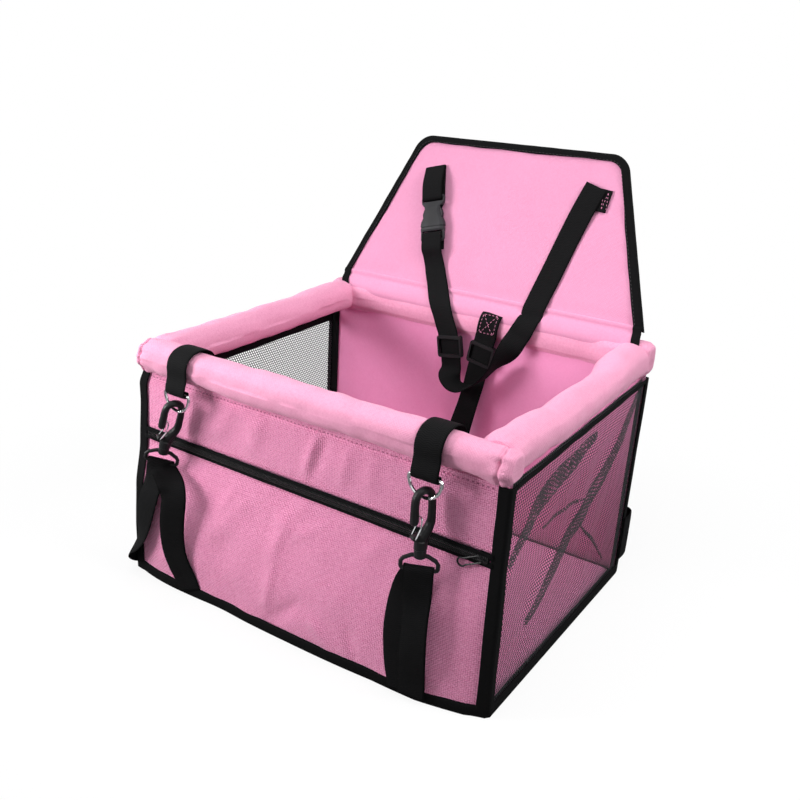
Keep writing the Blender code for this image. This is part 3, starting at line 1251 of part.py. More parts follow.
def build_rear_band():
    """A wide loose band behind the box, sewn on both sides at the rear corners."""
    side = BOX_WIDTH / 2 + GAP + WEB / 2
    far = BOX_DEPTH / 2 + BAND_REACH
    r = BAND_CORNER
    a = np.linspace(0, math.pi / 2, 6)
    arc = [(side - r + r * math.cos(t), far - r + r * math.sin(t)) for t in a]
    right = [(side, BOX_DEPTH / 2 - CORNER_LEG_SIDE + 0.001), *arc]
    line = right + [(-x, y) for x, y in reversed(right)]
    path = [(x, y, BAND_LOW + BAND_WIDTH / 2) for x, y in line]
    ribbon("rear_band", path, Z, width=BAND_WIDTH)


def main():
    for old in list(bpy.data.objects):
        bpy.data.objects.remove(old)
    build_bottom()
    build_front()
    build_rim()
    build_walls()
    hinge, front = build_backrest()
    snap = (hook_mesh(), gate_mesh(), eye_mesh())
    build_ring_loop("left_ring", -1)
    ring_y, ring_z = build_ring_loop("right_ring", 1)
    build_front_hooks(snap, ring_y, ring_z)
    at, frame = build_buckle(hinge, front)
    build_headrest_straps(front, at, frame)
    build_glides(glide_mesh())
    build_tether(snap)
    build_rear_band()


main()
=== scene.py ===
"""The dressed dog travel carrier: cloth, nets, webbing, hardware, light and camera.

Metres, in the CAD model's frame: +Z up, the front faces -Y, the origin is the
middle of the box on the floor. Cloth, net, tapes, webbing and threads are worked
out here as surfaces of two parameters and stand for the plain CAD solids of the
same pieces; the padded rolls go through a cloth simulation. The moulded and metal
pieces stay as they are and get their finishes.
"""

import json
import logging
import math
from dataclasses import dataclass, field
from enum import Enum
from typing import Callable, Sequence

import bmesh
import bpy
import numpy as np
from mathutils import Matrix, Vector

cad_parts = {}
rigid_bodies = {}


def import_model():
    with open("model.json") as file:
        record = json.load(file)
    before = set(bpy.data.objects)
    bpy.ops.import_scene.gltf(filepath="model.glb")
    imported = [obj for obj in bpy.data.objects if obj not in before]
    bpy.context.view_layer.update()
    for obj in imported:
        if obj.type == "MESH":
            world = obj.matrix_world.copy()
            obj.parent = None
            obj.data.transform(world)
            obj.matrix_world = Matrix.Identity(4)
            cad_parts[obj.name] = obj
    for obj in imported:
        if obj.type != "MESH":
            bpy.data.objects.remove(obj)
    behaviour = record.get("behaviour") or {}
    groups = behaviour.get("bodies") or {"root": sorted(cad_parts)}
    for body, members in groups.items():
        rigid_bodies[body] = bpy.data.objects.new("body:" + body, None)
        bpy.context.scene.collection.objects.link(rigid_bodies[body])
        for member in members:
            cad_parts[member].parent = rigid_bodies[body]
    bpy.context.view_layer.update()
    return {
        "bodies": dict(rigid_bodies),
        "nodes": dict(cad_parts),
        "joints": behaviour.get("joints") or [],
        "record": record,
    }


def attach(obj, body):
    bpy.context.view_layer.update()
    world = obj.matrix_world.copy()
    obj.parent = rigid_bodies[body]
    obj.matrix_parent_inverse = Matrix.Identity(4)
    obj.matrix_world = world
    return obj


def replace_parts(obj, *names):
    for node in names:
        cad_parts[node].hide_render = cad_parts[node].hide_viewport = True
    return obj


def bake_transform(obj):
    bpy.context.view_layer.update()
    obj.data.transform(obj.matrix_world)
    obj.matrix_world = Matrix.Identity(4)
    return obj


LOG = logging.getLogger("carrier")
X, Y, Z = np.eye(3)
Points = np.ndarray


# Shader graphs


def operator(operation: str, last: bool = False) -> Callable:
    """A method of Value that adds one Math node.

    Args:
        operation: The node's operation.
        last: The value itself goes behind the others.

    Returns:
        The method.
    """

    def method(self: "Value", *others: object) -> "Value":
        """This value and others through the node."""
        inputs = [*others, self] if last else [self, *others]
        return self.graph.node("ShaderNodeMath", {"operation": operation}, inputs)

    return method


class Value:
    """A shader socket on which Python's operators work, one Math node each."""

    __add__ = __radd__ = operator("ADD")
    __sub__, __rsub__ = operator("SUBTRACT"), operator("SUBTRACT", True)
    __mul__ = __rmul__ = operator("MULTIPLY")
    __truediv__, __pow__ = operator("DIVIDE"), operator("POWER")
    __gt__, __abs__ = operator("GREATER_THAN"), operator("ABSOLUTE")
    least, sine, fraction = operator("MINIMUM"), operator("SINE"), operator("FRACT")

    def __init__(self, graph: "Graph", socket: bpy.types.NodeSocket) -> None:
        """Wraps a socket of a graph."""
        self.graph = graph
        self.socket = socket

    def ribs(self, pitch: float) -> "Value":
        """Rounded ribs, one to every pitch of this distance."""
        return abs((self * (math.pi / pitch)).sine())

    def between(self, low: float, high: float) -> "Value":
        """A smooth step from 0 at low to 1 at high."""
        settings = {"interpolation_type": "SMOOTHSTEP"}
        return self.graph.node("ShaderNodeMapRange", settings, [self, low, high, 0.0, 1.0])


class Graph:
    """The nodes of one material or world."""

    def __init__(self, owner: bpy.types.Material | bpy.types.World) -> None:
        """Empties the owner's node tree.

        Args:
            owner: The material or world that has the nodes.
        """
        owner.use_nodes = True
        self.tree = owner.node_tree
        self.tree.nodes.clear()

    def node(
        self,
        kind: str,
        settings: dict | None = None,
        inputs: dict | Sequence | None = None,
        output: int | str | None = 0,
    ) -> Value | None:
        """Makes any node.

        Args:
            kind: The node's type.
            settings: Its own settings, set before its sockets.
            inputs: Values or links, by socket name or number.
            output: Which output is wrapped, if any.

        Returns:
            The output as a value.
        """
        made = self.tree.nodes.new(kind)
        for key, value in (settings or {}).items():
            setattr(made, key, value)
        pairs = inputs.items() if isinstance(inputs, dict) else enumerate(inputs or [])
        for key, value in pairs:
            if isinstance(value, Value):
                self.tree.links.new(value.socket, made.inputs[key])
            elif value is not None:
                made.inputs[key].default_value = value
        return Value(self, made.outputs[output]) if output is not None else None

    def mixed(self, share: object, first: object, second: object) -> Value:
        """A colour between two, by a share from 0 to 1.

        Args:
            share: A number, or a link, from 0 to 1.
            first: The colour at 0.
            second: The colour at 1.

        Returns:
            The colour.
        """
        inputs = {0: share, 6: rgba(first), 7: rgba(second)}
        settings = {"data_type": "RGBA", "blend_type": "MIX"}
        return self.node("ShaderNodeMix", settings, inputs, 2)

    def pair(self, source: Value) -> tuple[Value, Value]:
        """The first two parts of a vector."""
        first = self.node("ShaderNodeSeparateXYZ", None, [source], 0)
        return first, Value(self, first.socket.node.outputs[1])

    def cloth_uv(self) -> tuple[Value, Value]:
        """Metres across and along the cloth, from the piece's own UV map."""
        return self.pair(self.node("ShaderNodeUVMap", {"uv_map": "cloth"}))

    def place(self) -> Value:
        """Object coordinates."""
        return self.node("ShaderNodeTexCoord", None, None, 3)

    def noise(self, size: float, detail: float = 3.0, rough: float = 0.5) -> Value:
        """Cloudy noise whose blotches are about size metres across."""
        inputs = {"Vector": self.place(), "Scale": 1 / size, "Detail": detail, "Roughness": rough}
        return self.node("ShaderNodeTexNoise", None, inputs)

    def bump(self, height: Value, strength: float, distance: float) -> Value:
        """A normal from a height field."""
        inputs = {"Strength": strength, "Distance": distance, "Height": height}
        return self.node("ShaderNodeBump", None, inputs)

    def finish(self, colour: Value, rough: Value, normal: Value, **more: object) -> None:
        """The Principled shader and the output; other sockets' names use _ for a space.

        Args:
            colour: The base colour.
            rough: The roughness.
            normal: The normal.
            more: Values or links of other sockets.
        """
        inputs = {"Base Color": colour, "Roughness": rough, "Normal": normal}
        inputs |= {key.replace("_", " "): value for key, value in more.items()}
        self.show(self.node("ShaderNodeBsdfPrincipled", None, inputs), "ShaderNodeOutputMaterial")

    def show(self, shader: Value, kind: str) -> None:
        """Links a shader to a new output node of that kind."""
        self.node(kind, None, {"Surface": shader}, None)


def rgba(colour: object) -> object:
    """A colour of three numbers with its alpha; a link is passed on."""
    return colour if isinstance(colour, Value) or colour is None else (*colour, 1.0)


# Finishes

Colour = tuple[float, float, float]


@dataclass(frozen=True)
class OxfordCloth:
    """Pink plain-weave cloth of coarse yarn, with a soft sheen."""

    name: str
    light: Colour
    deep: Colour
    pitch: float = 0.0016
    relief: float = 0.00060
    contrast: float = 1.0
    sheen: float = 0.22

    def fill(self, g: Graph) -> None:
        """Yarns over and under: each cell of a chequer shows warp or weft.

        Args:
            g: The material's graph.
        """
        across, along = g.cloth_uv()
        warp = (across * (math.pi / self.pitch)).sine()
        weft = (along * (math.pi / self.pitch)).sine()
        over = (warp * weft) > 0.0
        yarn = over * abs(warp) + (1 - over) * abs(weft)
        slub = g.noise(0.0022, 2.0, 0.6)
        cloud = g.noise(0.06, 3.0, 0.55)
        # The yarn and slub heights, the same as in the bump, put the deep colour in the low places:
        # painted shade in the weave's relief. The slub and cloud terms also add random tone.
        coarse = 0.85 * (yarn - 0.45) + 1.20 * (slub - 0.5)
        tone = 0.55 + self.contrast * coarse + 0.25 * (cloud - 0.5)
        colour = g.mixed(tone.between(0.0, 1.0), self.deep, self.light)
        normal = g.bump(yarn + 0.45 * slub, 0.75, self.relief)
        g.finish(
            colour,
            0.66 + 0.20 * slub,
            normal,
            Sheen_Weight=self.sheen,
            Sheen_Roughness=0.45,
            Sheen_Tint=(1.0, 0.80, 0.90, 1.0),
            Specular_IOR_Level=0.30,
        )


@dataclass(frozen=True)
class Webbing:
    """Black woven strap: ribs along it in chevrons, with a firm edge."""

    name: str
    half: float = 0.0125
    rib: float = 0.0017
    colour: Colour = (0.0020, 0.0020, 0.0022)
    bright: Colour = (0.0085, 0.0085, 0.0090)

    def fill(self, g: Graph) -> None:
        """Ribs slant towards the middle of three bands, like a herringbone.

        Args:
            g: The material's graph.
        """
        across, along = g.cloth_uv()
        band = abs((across / (self.half * 0.66) + 8.0).fraction() - 0.5)
        rib = abs((along * (math.pi / self.rib) + band * 6.0).sine())
        pick = across.ribs(0.0010)
        edge = abs(across).between(self.half * 0.86, self.half * 0.95)
        weave = rib * (1 - edge) + pick * 0.4
        dust = g.noise(0.012, 4.0, 0.6)
        # Rib tops take the bright colour and the grooves the dark one: painted light on the weave's
        # relief. The dust term adds random tone.
        tone = (weave * (0.55 + 0.6 * dust)).between(0.15, 1.25)
        colour = g.mixed(tone, self.colour, self.bright)
        normal = g.bump(weave, 0.60, 0.00035)
        g.finish(colour, 0.66 + 0.2 * dust, normal, Specular_IOR_Level=0.05)


@dataclass(frozen=True)
class EdgeTape:
    """Black binding tape with fine ribs across it."""

    name: str
    rib: float = 0.0012
    colour: Colour = (0.0020, 0.0020, 0.0022)
    bright: Colour = (0.0080, 0.0080, 0.0085)

    def fill(self, g: Graph) -> None:
        """Ribs along v, and fine picks across them.

        Args:
            g: The material's graph.
        """
        across, along = g.cloth_uv()
        rib, pick = along.ribs(self.rib), across.ribs(0.0008)
        dust = g.noise(0.010, 4.0, 0.6)
        # Raised ribs take the bright colour and the grooves the dark one: painted light on the
        # tape's relief. The dust term adds random tone.
        tone = ((rib * 0.6 + pick * 0.3) * (0.5 + 0.8 * dust)).between(0.1, 1.1)
        colour = g.mixed(tone, self.colour, self.bright)
        normal = g.bump(rib + 0.4 * pick, 0.5, 0.00025)
        g.finish(colour, 0.70 + 0.18 * dust, normal, Specular_IOR_Level=0.05)


@dataclass(frozen=True)
class HoneycombNet:
    """Black knitted net with rounded holes in staggered rows."""

    name: str
    step: float = 0.0024
    hole: float = 0.37
    colour: Colour = (0.016, 0.016, 0.018)

    def fill(self, g: Graph) -> None:
        """A hole at every point of two shifted lattices; the alpha is 0 in it.

        Args:
            g: The material's graph.
        """
        across, along = g.cloth_uv()
        cell_x = across / self.step + 200.0
        cell_y = along / (self.step * math.sqrt(3)) + 200.0
        near = None
        for shift in (0.0, 0.5):
            dx = (cell_x + shift).fraction() - 0.5
            dy = ((cell_y + shift).fraction() - 0.5) * math.sqrt(3)
            gap = (dx * dx + dy * dy) ** 0.5
            near = gap if near is None else near.least(gap)
        thread = near.between(self.hole - 0.05, self.hole + 0.05)
        dust = g.noise(0.02, 3.0, 0.6)
        colour = g.mixed(near.between(self.hole, 0.58), (0.045, 0.045, 0.050), self.colour)
        normal = g.bump(near, 0.4, 0.0003)
        g.finish(colour, 0.6 + 0.2 * dust, normal, Alpha=thread, Specular_IOR_Level=0.35)


@dataclass(frozen=True)
class MouldedPlastic:
    """Injection-moulded plastic with a fine spark-eroded grain and rubbed edges."""

    name: str
    colour: Colour
    rubbed: Colour
    rough: float = 0.42
    gloss: float = 0.45
    grain: float = 0.0007

    def fill(self, g: Graph) -> None:
        """Fine grain in the bump, dull blotches in the roughness.

        Args:
            g: The material's graph.
        """
        grain = g.noise(self.grain, 2.0, 0.6)
        cloud = g.noise(0.008, 3.0, 0.6)
        worn = g.node("ShaderNodeNewGeometry", None, None, "Pointiness").between(0.505, 0.56)
        colour = g.mixed(worn * 0.7 + 0.25 * cloud, self.colour, self.rubbed)
        normal = g.bump(grain, 0.18, 0.00008)
        rough = self.rough + 0.22 * (cloud - 0.5)
        g.finish(colour, rough, normal, Specular_IOR_Level=self.gloss)


@dataclass(frozen=True)
class Chrome:
    """Bright plated steel wire, with faint scratches and dull spots."""

    name: str = "bright_chrome"

    def fill(self, g: Graph) -> None:
        """Metal whose roughness varies with fine scratches.

        Args:
            g: The material's graph.
        """
        spots = g.noise(0.003, 4.0, 0.7)
        fine = g.noise(0.0005, 2.0, 0.6)
        colour = g.mixed(spots.between(0.35, 0.75), (0.80, 0.80, 0.82), (0.62, 0.62, 0.65))
        normal = g.bump(fine, 0.08, 0.00005)
        g.finish(colour, 0.10 + 0.16 * spots * fine, normal, Metallic=1.0)


@dataclass(frozen=True)
class ZipCoil:
    """Black nylon coil on a woven tape."""

    name: str = "zip_coil_black"
    pitch: float = 0.0014

    def fill(self, g: Graph) -> None:
        """Turns of the coil across the zip, by the distance along it.

        Args:
            g: The material's graph.
        """
        turn = g.cloth_uv()[1].ribs(self.pitch)
        # Lighter on each turn's crest and dark between turns: painted light on the coil's relief.
        colour = g.mixed(turn.between(0.2, 1.0), (0.002, 0.002, 0.002), (0.010, 0.010, 0.011))
        normal = g.bump(turn, 0.8, 0.0005)
        g.finish(colour, 0.38 + 0.2 * turn, normal, Specular_IOR_Level=0.4)


@dataclass(frozen=True)
class SewingThread:
    """Thin twisted thread."""

    name: str
    colour: Colour
    dark: Colour

    def fill(self, g: Graph) -> None:
        """Two plies that twist round each other.

        Args:
            g: The material's graph.
        """
        fuzz = g.noise(0.0006, 2.0, 0.6)
        colour = g.mixed(fuzz, self.dark, self.colour)
        g.finish(colour, 0.6 + 0.2 * fuzz, g.bump(fuzz, 0.4, 0.0001))


PINK = OxfordCloth(
    "pink_oxford_cloth", (0.90, 0.345, 0.560), (0.62, 0.105, 0.260), 0.0018, 0.00085, 2.2, 0.36,
)
# The same pink cloth in paler, less saturated colours for the brightly lit rolls: painted
# highlight.
PINK_PAD = OxfordCloth(
    "pink_padded_cloth", (0.87, 0.385, 0.560), (0.70, 0.225, 0.380), 0.0013, 0.00035, 0.7,
)
# The same pink cloth, toned down and paler in hue for the strongly lit backrest and fold: painted
# light.
PINK_BACK = OxfordCloth(
    "pink_backrest_cloth", (0.72, 0.315, 0.490), (0.63, 0.215, 0.362), 0.0013, 0.00030, 0.45,
)
# The same pink cloth with a lighter deep tone for the inside walls and mat: painted light that
# lifts the shade inside the box.
PINK_IN = OxfordCloth(
    "pink_lining_cloth", (0.90, 0.345, 0.590), (0.80, 0.245, 0.470), 0.0011, 0.00020, 0.45,
)
STRAP = Webbing("black_strap_webbing")
WIDE_STRAP = Webbing("black_band_webbing", 0.025)
TAPE = EdgeTape("black_edge_tape")
NET = HoneycombNet("black_knitted_net", 0.0031, 0.355)
PLEAT = HoneycombNet("black_folded_net", 0.0031, 0.36, (0.045, 0.045, 0.050))
BLACK_PLASTIC = MouldedPlastic(
    "black_moulded_plastic", (0.0020, 0.0020, 0.0022), (0.009, 0.009, 0.010), 0.42, 0.22,
)
GREY_PLASTIC = MouldedPlastic(
    "charcoal_moulded_plastic", (0.0065, 0.0065, 0.0080), (0.017, 0.017, 0.020), 0.58, 0.24,
)
PVC = MouldedPlastic("white_tube_plastic", (0.78, 0.78, 0.76), (0.84, 0.84, 0.82), 0.36)
BOARD = MouldedPlastic("grey_fibre_board", (0.30, 0.28, 0.25), (0.40, 0.37, 0.33), 0.85)
CHROME = Chrome()
COIL = ZipCoil()
PINK_THREAD = SewingThread("pink_sewing_thread", (0.83, 0.36, 0.54), (0.52, 0.13, 0.26))
# Dark thread for the seam under the front roll: the stitches are real, their dark colour is painted
# shade for the roll's shadow line.
SHADED_SEAM_THREAD = SewingThread("deep_pink_thread", (0.42, 0.10, 0.20), (0.20, 0.03, 0.08))
BLACK_THREAD = SewingThread("black_sewing_thread", (0.05, 0.05, 0.055), (0.01, 0.01, 0.01))


_made: dict[str, bpy.types.Material] = {}


def finish_of(spec: object) -> bpy.types.Material:
    """The material of a finish, made once.

    Args:
        spec: One of the finishes above.

    Returns:
        The material.
    """
    if spec.name not in _made:
        _made[spec.name] = bpy.data.materials.new(spec.name)
        spec.fill(Graph(_made[spec.name]))
    return _made[spec.name]


class Slot(Enum):
    """The record's material slots for cloth, net and webbing."""

    PINK_CLOTH = "pink_cloth"
    PINK_PADDING = "pink_padding"
    WEBBING = "black_webbing"
    NET = "black_net"


# Shapes


def unit(v: Points) -> Points:
    """Vectors of length 1 in the same directions."""
    return v / np.maximum(np.linalg.norm(v, axis=-1, keepdims=True), 1e-12)


def smooth_step(t: Points) -> Points:
    """0 below 0, 1 above 1, and a smooth S between."""
    t = np.clip(t, 0, 1)
    return t * t * (3 - 2 * t)


def joined(*parts: Points | float) -> Points:
    """Coordinates side by side in a last axis, each spread over the shape of all."""
    return np.stack(np.broadcast_arrays(*parts), -1)


def circle(count: int) -> Points:
    """Even angles once round."""
    return np.linspace(0, 2 * math.pi, count, endpoint=False)


def sweep(path: Points, side: Points, normal: Points, section: Points) -> Points:
    """A section carried along a path, its first column to the side, its second out."""
    return path[:, None] + section[..., :1] * side[:, None] + section[..., 1:] * normal[:, None]


def superellipse(half_width: float, half_height: float, power: float, angle: Points) -> Points:
    """Points of a rounded section: |x/w|^n + |y/h|^n = 1 at each angle.

    Args:
        half_width: Half of its width.
        half_height: Half of its height.
        power: 2 makes an ellipse, more makes it squarer.
        angle: The angles of the points.

    Returns:
        Places across and up, one row to an angle.
    """
    c, s = np.cos(angle), np.sin(angle)
    size = (np.abs(c) ** power + np.abs(s) ** power) ** (-1 / power)
    return joined(half_width * c * size, half_height * s * size)


def smooth_through(rows: Points, steps: int) -> Points:
    """A Hermite curve through rows, spaced by their first three columns.

    Args:
        rows: Places, and what else changes along them.
        steps: Points to each span.

    Returns:
        The rows of the curve.
    """
    p = np.asarray(rows, float)
    gap = np.linalg.norm(np.diff(p[:, :3], axis=0), axis=1)[:, None]
    slope = np.diff(p, axis=0) / gap
    inner = (slope[:-1] * gap[1:] + slope[1:] * gap[:-1]) / (gap[1:] + gap[:-1])
    tangent = np.vstack([slope[:1], inner, slope[-1:]])
    t = np.linspace(0, 1, steps, endpoint=False)[None, :, None]
    start, end = p[:-1, None], p[1:, None]
    out, into = (tangent[:-1] * gap)[:, None], (tangent[1:] * gap)[:, None]
    cubic = 2 * (start - end) + out + into
    square = 3 * (end - start) - 2 * out - into
    spans = start + out * t + square * t**2 + cubic * t**3
    return np.vstack([spans.reshape(-1, p.shape[1]), p[-1:]])


def evenly(path: Points, count: int) -> Points:
    """A path's rows again at even distances along its first three columns.

    Args:
        path: Rows of places, and what else changes along them.
        count: How many points there are.

    Returns:
        That many rows.
    """
    gap = np.linalg.norm(np.diff(path[:, :3], axis=0), axis=1)
    at = np.concatenate([[0], np.cumsum(gap)])
    want = np.linspace(0, at[-1], count)
    return np.stack([np.interp(want, at, path[:, k]) for k in range(path.shape[1])], -1)


def run_length(path: Points) -> Points:
    """Distance along a path at each of its points."""
    gap = np.linalg.norm(np.diff(path, axis=0), axis=1)
    return np.concatenate([[0], np.cumsum(gap)])


def grid_mesh(
    name: str, points: Points, uv: Points, wrap: bool = False, outward: Points | None = None
) -> bpy.types.Mesh:
    """A mesh of quads through a grid of points.

    Args:
        name: The mesh's name.
        points: Rows by columns by 3.
        uv: Rows by columns by 2, in metres; with wrap, one more column.
        wrap: The last column joins the first.
        outward: A direction per point, or one, that the faces look towards.

    Returns:
        The mesh, with its UV map named cloth.
    """
    rows, cols = points.shape[:2]
    at = np.arange(rows * cols).reshape(rows, cols)
    uv_at = np.arange(rows * uv.shape[1]).reshape(rows, uv.shape[1])
    if wrap:
        at = np.concatenate([at, at[:, :1]], 1)
    corner = [(slice(None, -1), slice(None, -1)), (slice(None, -1), slice(1, None))]
    corner += [(slice(1, None), slice(1, None)), (slice(1, None), slice(None, -1))]
    quads = np.stack([at[c] for c in corner], -1).reshape(-1, 4)
    uv_quads = np.stack([uv_at[:, : at.shape[1]][c] for c in corner], -1).reshape(-1, 4)
    flat = points.reshape(-1, 3)
    if outward is not None:
        a, b, c = flat[quads[:, 0]], flat[quads[:, 1]], flat[quads[:, 3]]
        face = np.cross(b - a, c - a)
        look = np.broadcast_to(outward, points.shape).reshape(-1, 3)[quads[:, 0]]
        if (face * look).sum() < 0:
            quads, uv_quads = quads[:, ::-1], uv_quads[:, ::-1]
    mesh = bpy.data.meshes.new(name)
    mesh.from_pydata(flat.tolist(), [], quads.tolist())
    layer = mesh.uv_layers.new(name="cloth")
    layer.data.foreach_set("uv", uv.reshape(-1, 2)[uv_quads.reshape(-1)].astype(np.float32).ravel())
    mesh.update()
    mesh.shade_smooth()
    return mesh


def placed(name: str, data: bpy.types.ID) -> bpy.types.Object:
    """A new object in the scene.

    Args:
        name: The object's name.
        data: What the object shows.

    Returns:
        The object.
    """
    obj = bpy.data.objects.new(name, data)
    bpy.context.collection.objects.link(obj)
    return obj


def add_piece(
    name: str, mesh: bpy.types.Mesh, finish: object, body: str
) -> bpy.types.Object:
    """A piece of the visual model, on its body, with its finish.

    Args:
        name: The piece's name.
        mesh: The piece's mesh.
        finish: What it is made of.
        body: The body that it rides on.

    Returns:
        The piece.
    """
    obj = placed(name, mesh)
    mesh.materials.clear()
    mesh.materials.append(finish_of(finish))
    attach(obj, body)
    return obj


def thicken(obj: bpy.types.Object, thickness: float) -> None:
    """Gives a sheet its thickness, inwards from its faces.

    Args:
        obj: The piece.
        thickness: Its thickness in metres.
    """
    solid = obj.modifiers.new("thickness", "SOLIDIFY")
    solid.thickness = thickness
    solid.offset = -1.0
    solid.use_even_offset = False


def sew(
    name: str,
    node: str,
    points: Points,
    flat: Points,
    outward: Points,
    finish: object,
    thickness: float,
    body: str = "carrier",
    slot: Slot = Slot.PINK_CLOTH,
    wrap: bool = False,
) -> bpy.types.Object:
    """Makes a sheet through a grid of points.

    Args:
        name: The sheet's name.
        node: The CAD node that it stands for, if any.
        points: Rows by columns by 3.
        flat: Metres across and along the cloth at each point.
        outward: Where its outside looks.
        finish: What it is made of.
        thickness: 0 leaves it a single surface.
        body: The body that it rides on.
        slot: Its slot in the record; not used.
        wrap: The last column joins the first.

    Returns:
        The sheet.
    """
    piece = add_piece(name, grid_mesh(name, points, flat, wrap, outward), finish, body)
    if thickness:
        thicken(piece, thickness)
    if node:
        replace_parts(piece, node)
    LOG.info("sheet %s", name)
    return piece


def subdivide(obj: bpy.types.Object, levels: int = 1) -> None:
    """Smooths a piece; the render shows the same level as the view.

    Args:
        obj: The piece.
        levels: How often each face is divided.
    """
    sub = obj.modifiers.new("smooth", "SUBSURF")
    sub.levels = levels
    sub.render_levels = levels


@dataclass(frozen=True)
class Crease:
    """A soft fold in cloth: a ridge, or a valley if its height is negative."""

    start: tuple[float, float]
    end: tuple[float, float]
    width: float
    height: float

    def lift(self, u: Points, v: Points) -> Points:
        """Height at each point: a Gaussian across, faded towards both ends.

        Args:
            u: Metres across the cloth.
            v: Metres along the cloth.

        Returns:
            The heights in metres.
        """
        a, b = np.array(self.start), np.array(self.end)
        run = b - a
        length = np.linalg.norm(run)
        along = ((u - a[0]) * run[0] + (v - a[1]) * run[1]) / length**2
        aside = ((u - a[0]) * run[1] - (v - a[1]) * run[0]) / length
        fade = smooth_step((along + 0.15) / 0.4) * smooth_step((1.15 - along) / 0.4)
        return self.height * fade * np.exp(-((aside / self.width) ** 2))


def creases(*rows: tuple[float, ...]) -> tuple[Crease, ...]:
    """Folds from rows of start, end, width and height in millimetres."""
    table = np.array(rows) / 1000
    return tuple(Crease((a, b), (c, d), width, height) for a, b, c, d, width, height in table)


def creased(u: Points, v: Points, creases: Sequence[Crease]) -> Points:
    """The sum of many creases at each point.

    Args:
        u: Metres across the cloth.
        v: Metres along the cloth.
        creases: The folds.

    Returns:
        The heights in metres.
    """
    total = np.zeros(np.broadcast(u, v).shape)
    for crease in creases:
        total = total + crease.lift(u, v)
    return total


def ripple(
    u: Points, v: Points | float, seed: int, size: float, height: float, count: int = 14
) -> Points:
    """Uneven cloth: waves of many directions, none shorter than about size.

    Args:
        u: Metres across the cloth.
        v: Metres along the cloth.
        seed: Which waves they are.
        size: The shortest wave.
        height: About how high the waves are.
        count: How many waves are added.

    Returns:
        The heights in metres.
    """
    rng = np.random.default_rng(seed)
    total = np.zeros(np.broadcast(u, v).shape)
    for _ in range(count):
        angle, phase = rng.uniform(0, math.pi), rng.uniform(0, 2 * math.pi)
        step = 2 * math.pi / (size * rng.uniform(1.0, 3.5))
        total = total + np.sin((u * math.cos(angle) + v * math.sin(angle)) * step + phase)
    return height * total / math.sqrt(count)


@dataclass
class Stuffing:
    """Swells a closed shape as air under pressure does, with real cloth physics."""

    voxel: float = 0.005
    pressure: float = 4.0
    frames: int = 20
    cap: float = 0.003

    def swell(self, obj: bpy.types.Object, held: Callable[[Points], Points]) -> None:
        """Remeshes the piece, runs the cloth, and keeps the capped result.

        Args:
            obj: A closed piece, whose mesh is replaced.
            held: Gives 1 at points that seams hold and 0 at free ones.
        """
        remesh = obj.modifiers.new("remesh", "REMESH")
        remesh.mode = "VOXEL"
        remesh.voxel_size = self.voxel
        self.bake(obj)
        start = read_points(obj.data)
        group = obj.vertex_groups.new(name="seams")
        weight = held(start)
        for index in np.flatnonzero(weight > 0.02):
            group.add([int(index)], float(weight[index]), "REPLACE")
        cloth = obj.modifiers.new("cloth", "CLOTH")
        self._tune(cloth, group.name)
        scene = bpy.context.scene
        for frame in range(1, self.frames + 1):
            scene.frame_set(frame)
        self.bake(obj)
        scene.frame_set(1)
        moved = read_points(obj.data) - start
        size = np.linalg.norm(moved, axis=1, keepdims=True)
        moved *= np.minimum(1, self.cap / np.maximum(size, 1e-9))
        write_points(obj.data, start + moved)
        obj.vertex_groups.clear()

    def _tune(self, cloth: bpy.types.Modifier, group: str) -> None:
        """Sets the cloth's stiffness, pressure and pins.

        Args:
            cloth: The cloth modifier.
            group: The vertex group of the pins.
        """
        settings = cloth.settings
        settings.quality = 6
        settings.mass = 0.25
        settings.tension_stiffness = settings.compression_stiffness = 12
        settings.shear_stiffness = 6
        settings.bending_stiffness = 0.3
        settings.use_pressure = True
        settings.uniform_pressure_force = self.pressure
        settings.vertex_group_mass = group
        settings.effector_weights.gravity = 0
        cloth.collision_settings.use_collision = False
        cloth.point_cache.frame_start = 1
        cloth.point_cache.frame_end = self.frames

    @staticmethod
    def bake(obj: bpy.types.Object) -> None:
        """Replaces the mesh by what its modifiers make of it.

        Args:
            obj: The piece.
        """
        bpy.context.view_layer.update()
        graph = bpy.context.evaluated_depsgraph_get()
        mesh = bpy.data.meshes.new_from_object(obj.evaluated_get(graph))
        obj.modifiers.clear()
        old = obj.data
        mesh.name = old.name
        obj.data = mesh
        bpy.data.meshes.remove(old)


def read_points(mesh: bpy.types.Mesh) -> Points:
    """A mesh's points as an array.

    Args:
        mesh: Any mesh.

    Returns:
        Rows of x, y and z.
    """
    flat = np.empty(len(mesh.vertices) * 3, np.float32)
    mesh.vertices.foreach_get("co", flat)
    return flat.reshape(-1, 3).astype(float)


def write_points(mesh: bpy.types.Mesh, points: Points) -> None:
    """Moves a mesh's points."""
    mesh.vertices.foreach_set("co", points.astype(np.float32).ravel())
    mesh.update()


def lay_uv(mesh: bpy.types.Mesh, flat: Callable[[Points], Points]) -> None:
    """Gives a mesh the UV map named cloth, from its corner points, face by face.

    Args:
        mesh: The mesh.
        flat: Turns (faces, corners, 3) points into (faces, corners, 2) metres.
    """
    points = read_points(mesh)
    starts = np.empty(len(mesh.polygons), np.int32)
    sizes = np.empty(len(mesh.polygons), np.int32)
    mesh.polygons.foreach_get("loop_start", starts)
    mesh.polygons.foreach_get("loop_total", sizes)
    loops = np.empty(len(mesh.loops), np.int32)
    mesh.loops.foreach_get("vertex_index", loops)
    layer = mesh.uv_layers.get("cloth") or mesh.uv_layers.new(name="cloth")
    uv = np.zeros((len(mesh.loops), 2), np.float32)
    for size in np.unique(sizes):
        at = starts[sizes == size][:, None] + np.arange(size)
        uv[at] = flat(points[loops[at]])
    layer.data.foreach_set("uv", uv.ravel())
    mesh.shade_smooth()


# Sizes that the pieces share, as the CAD model has them


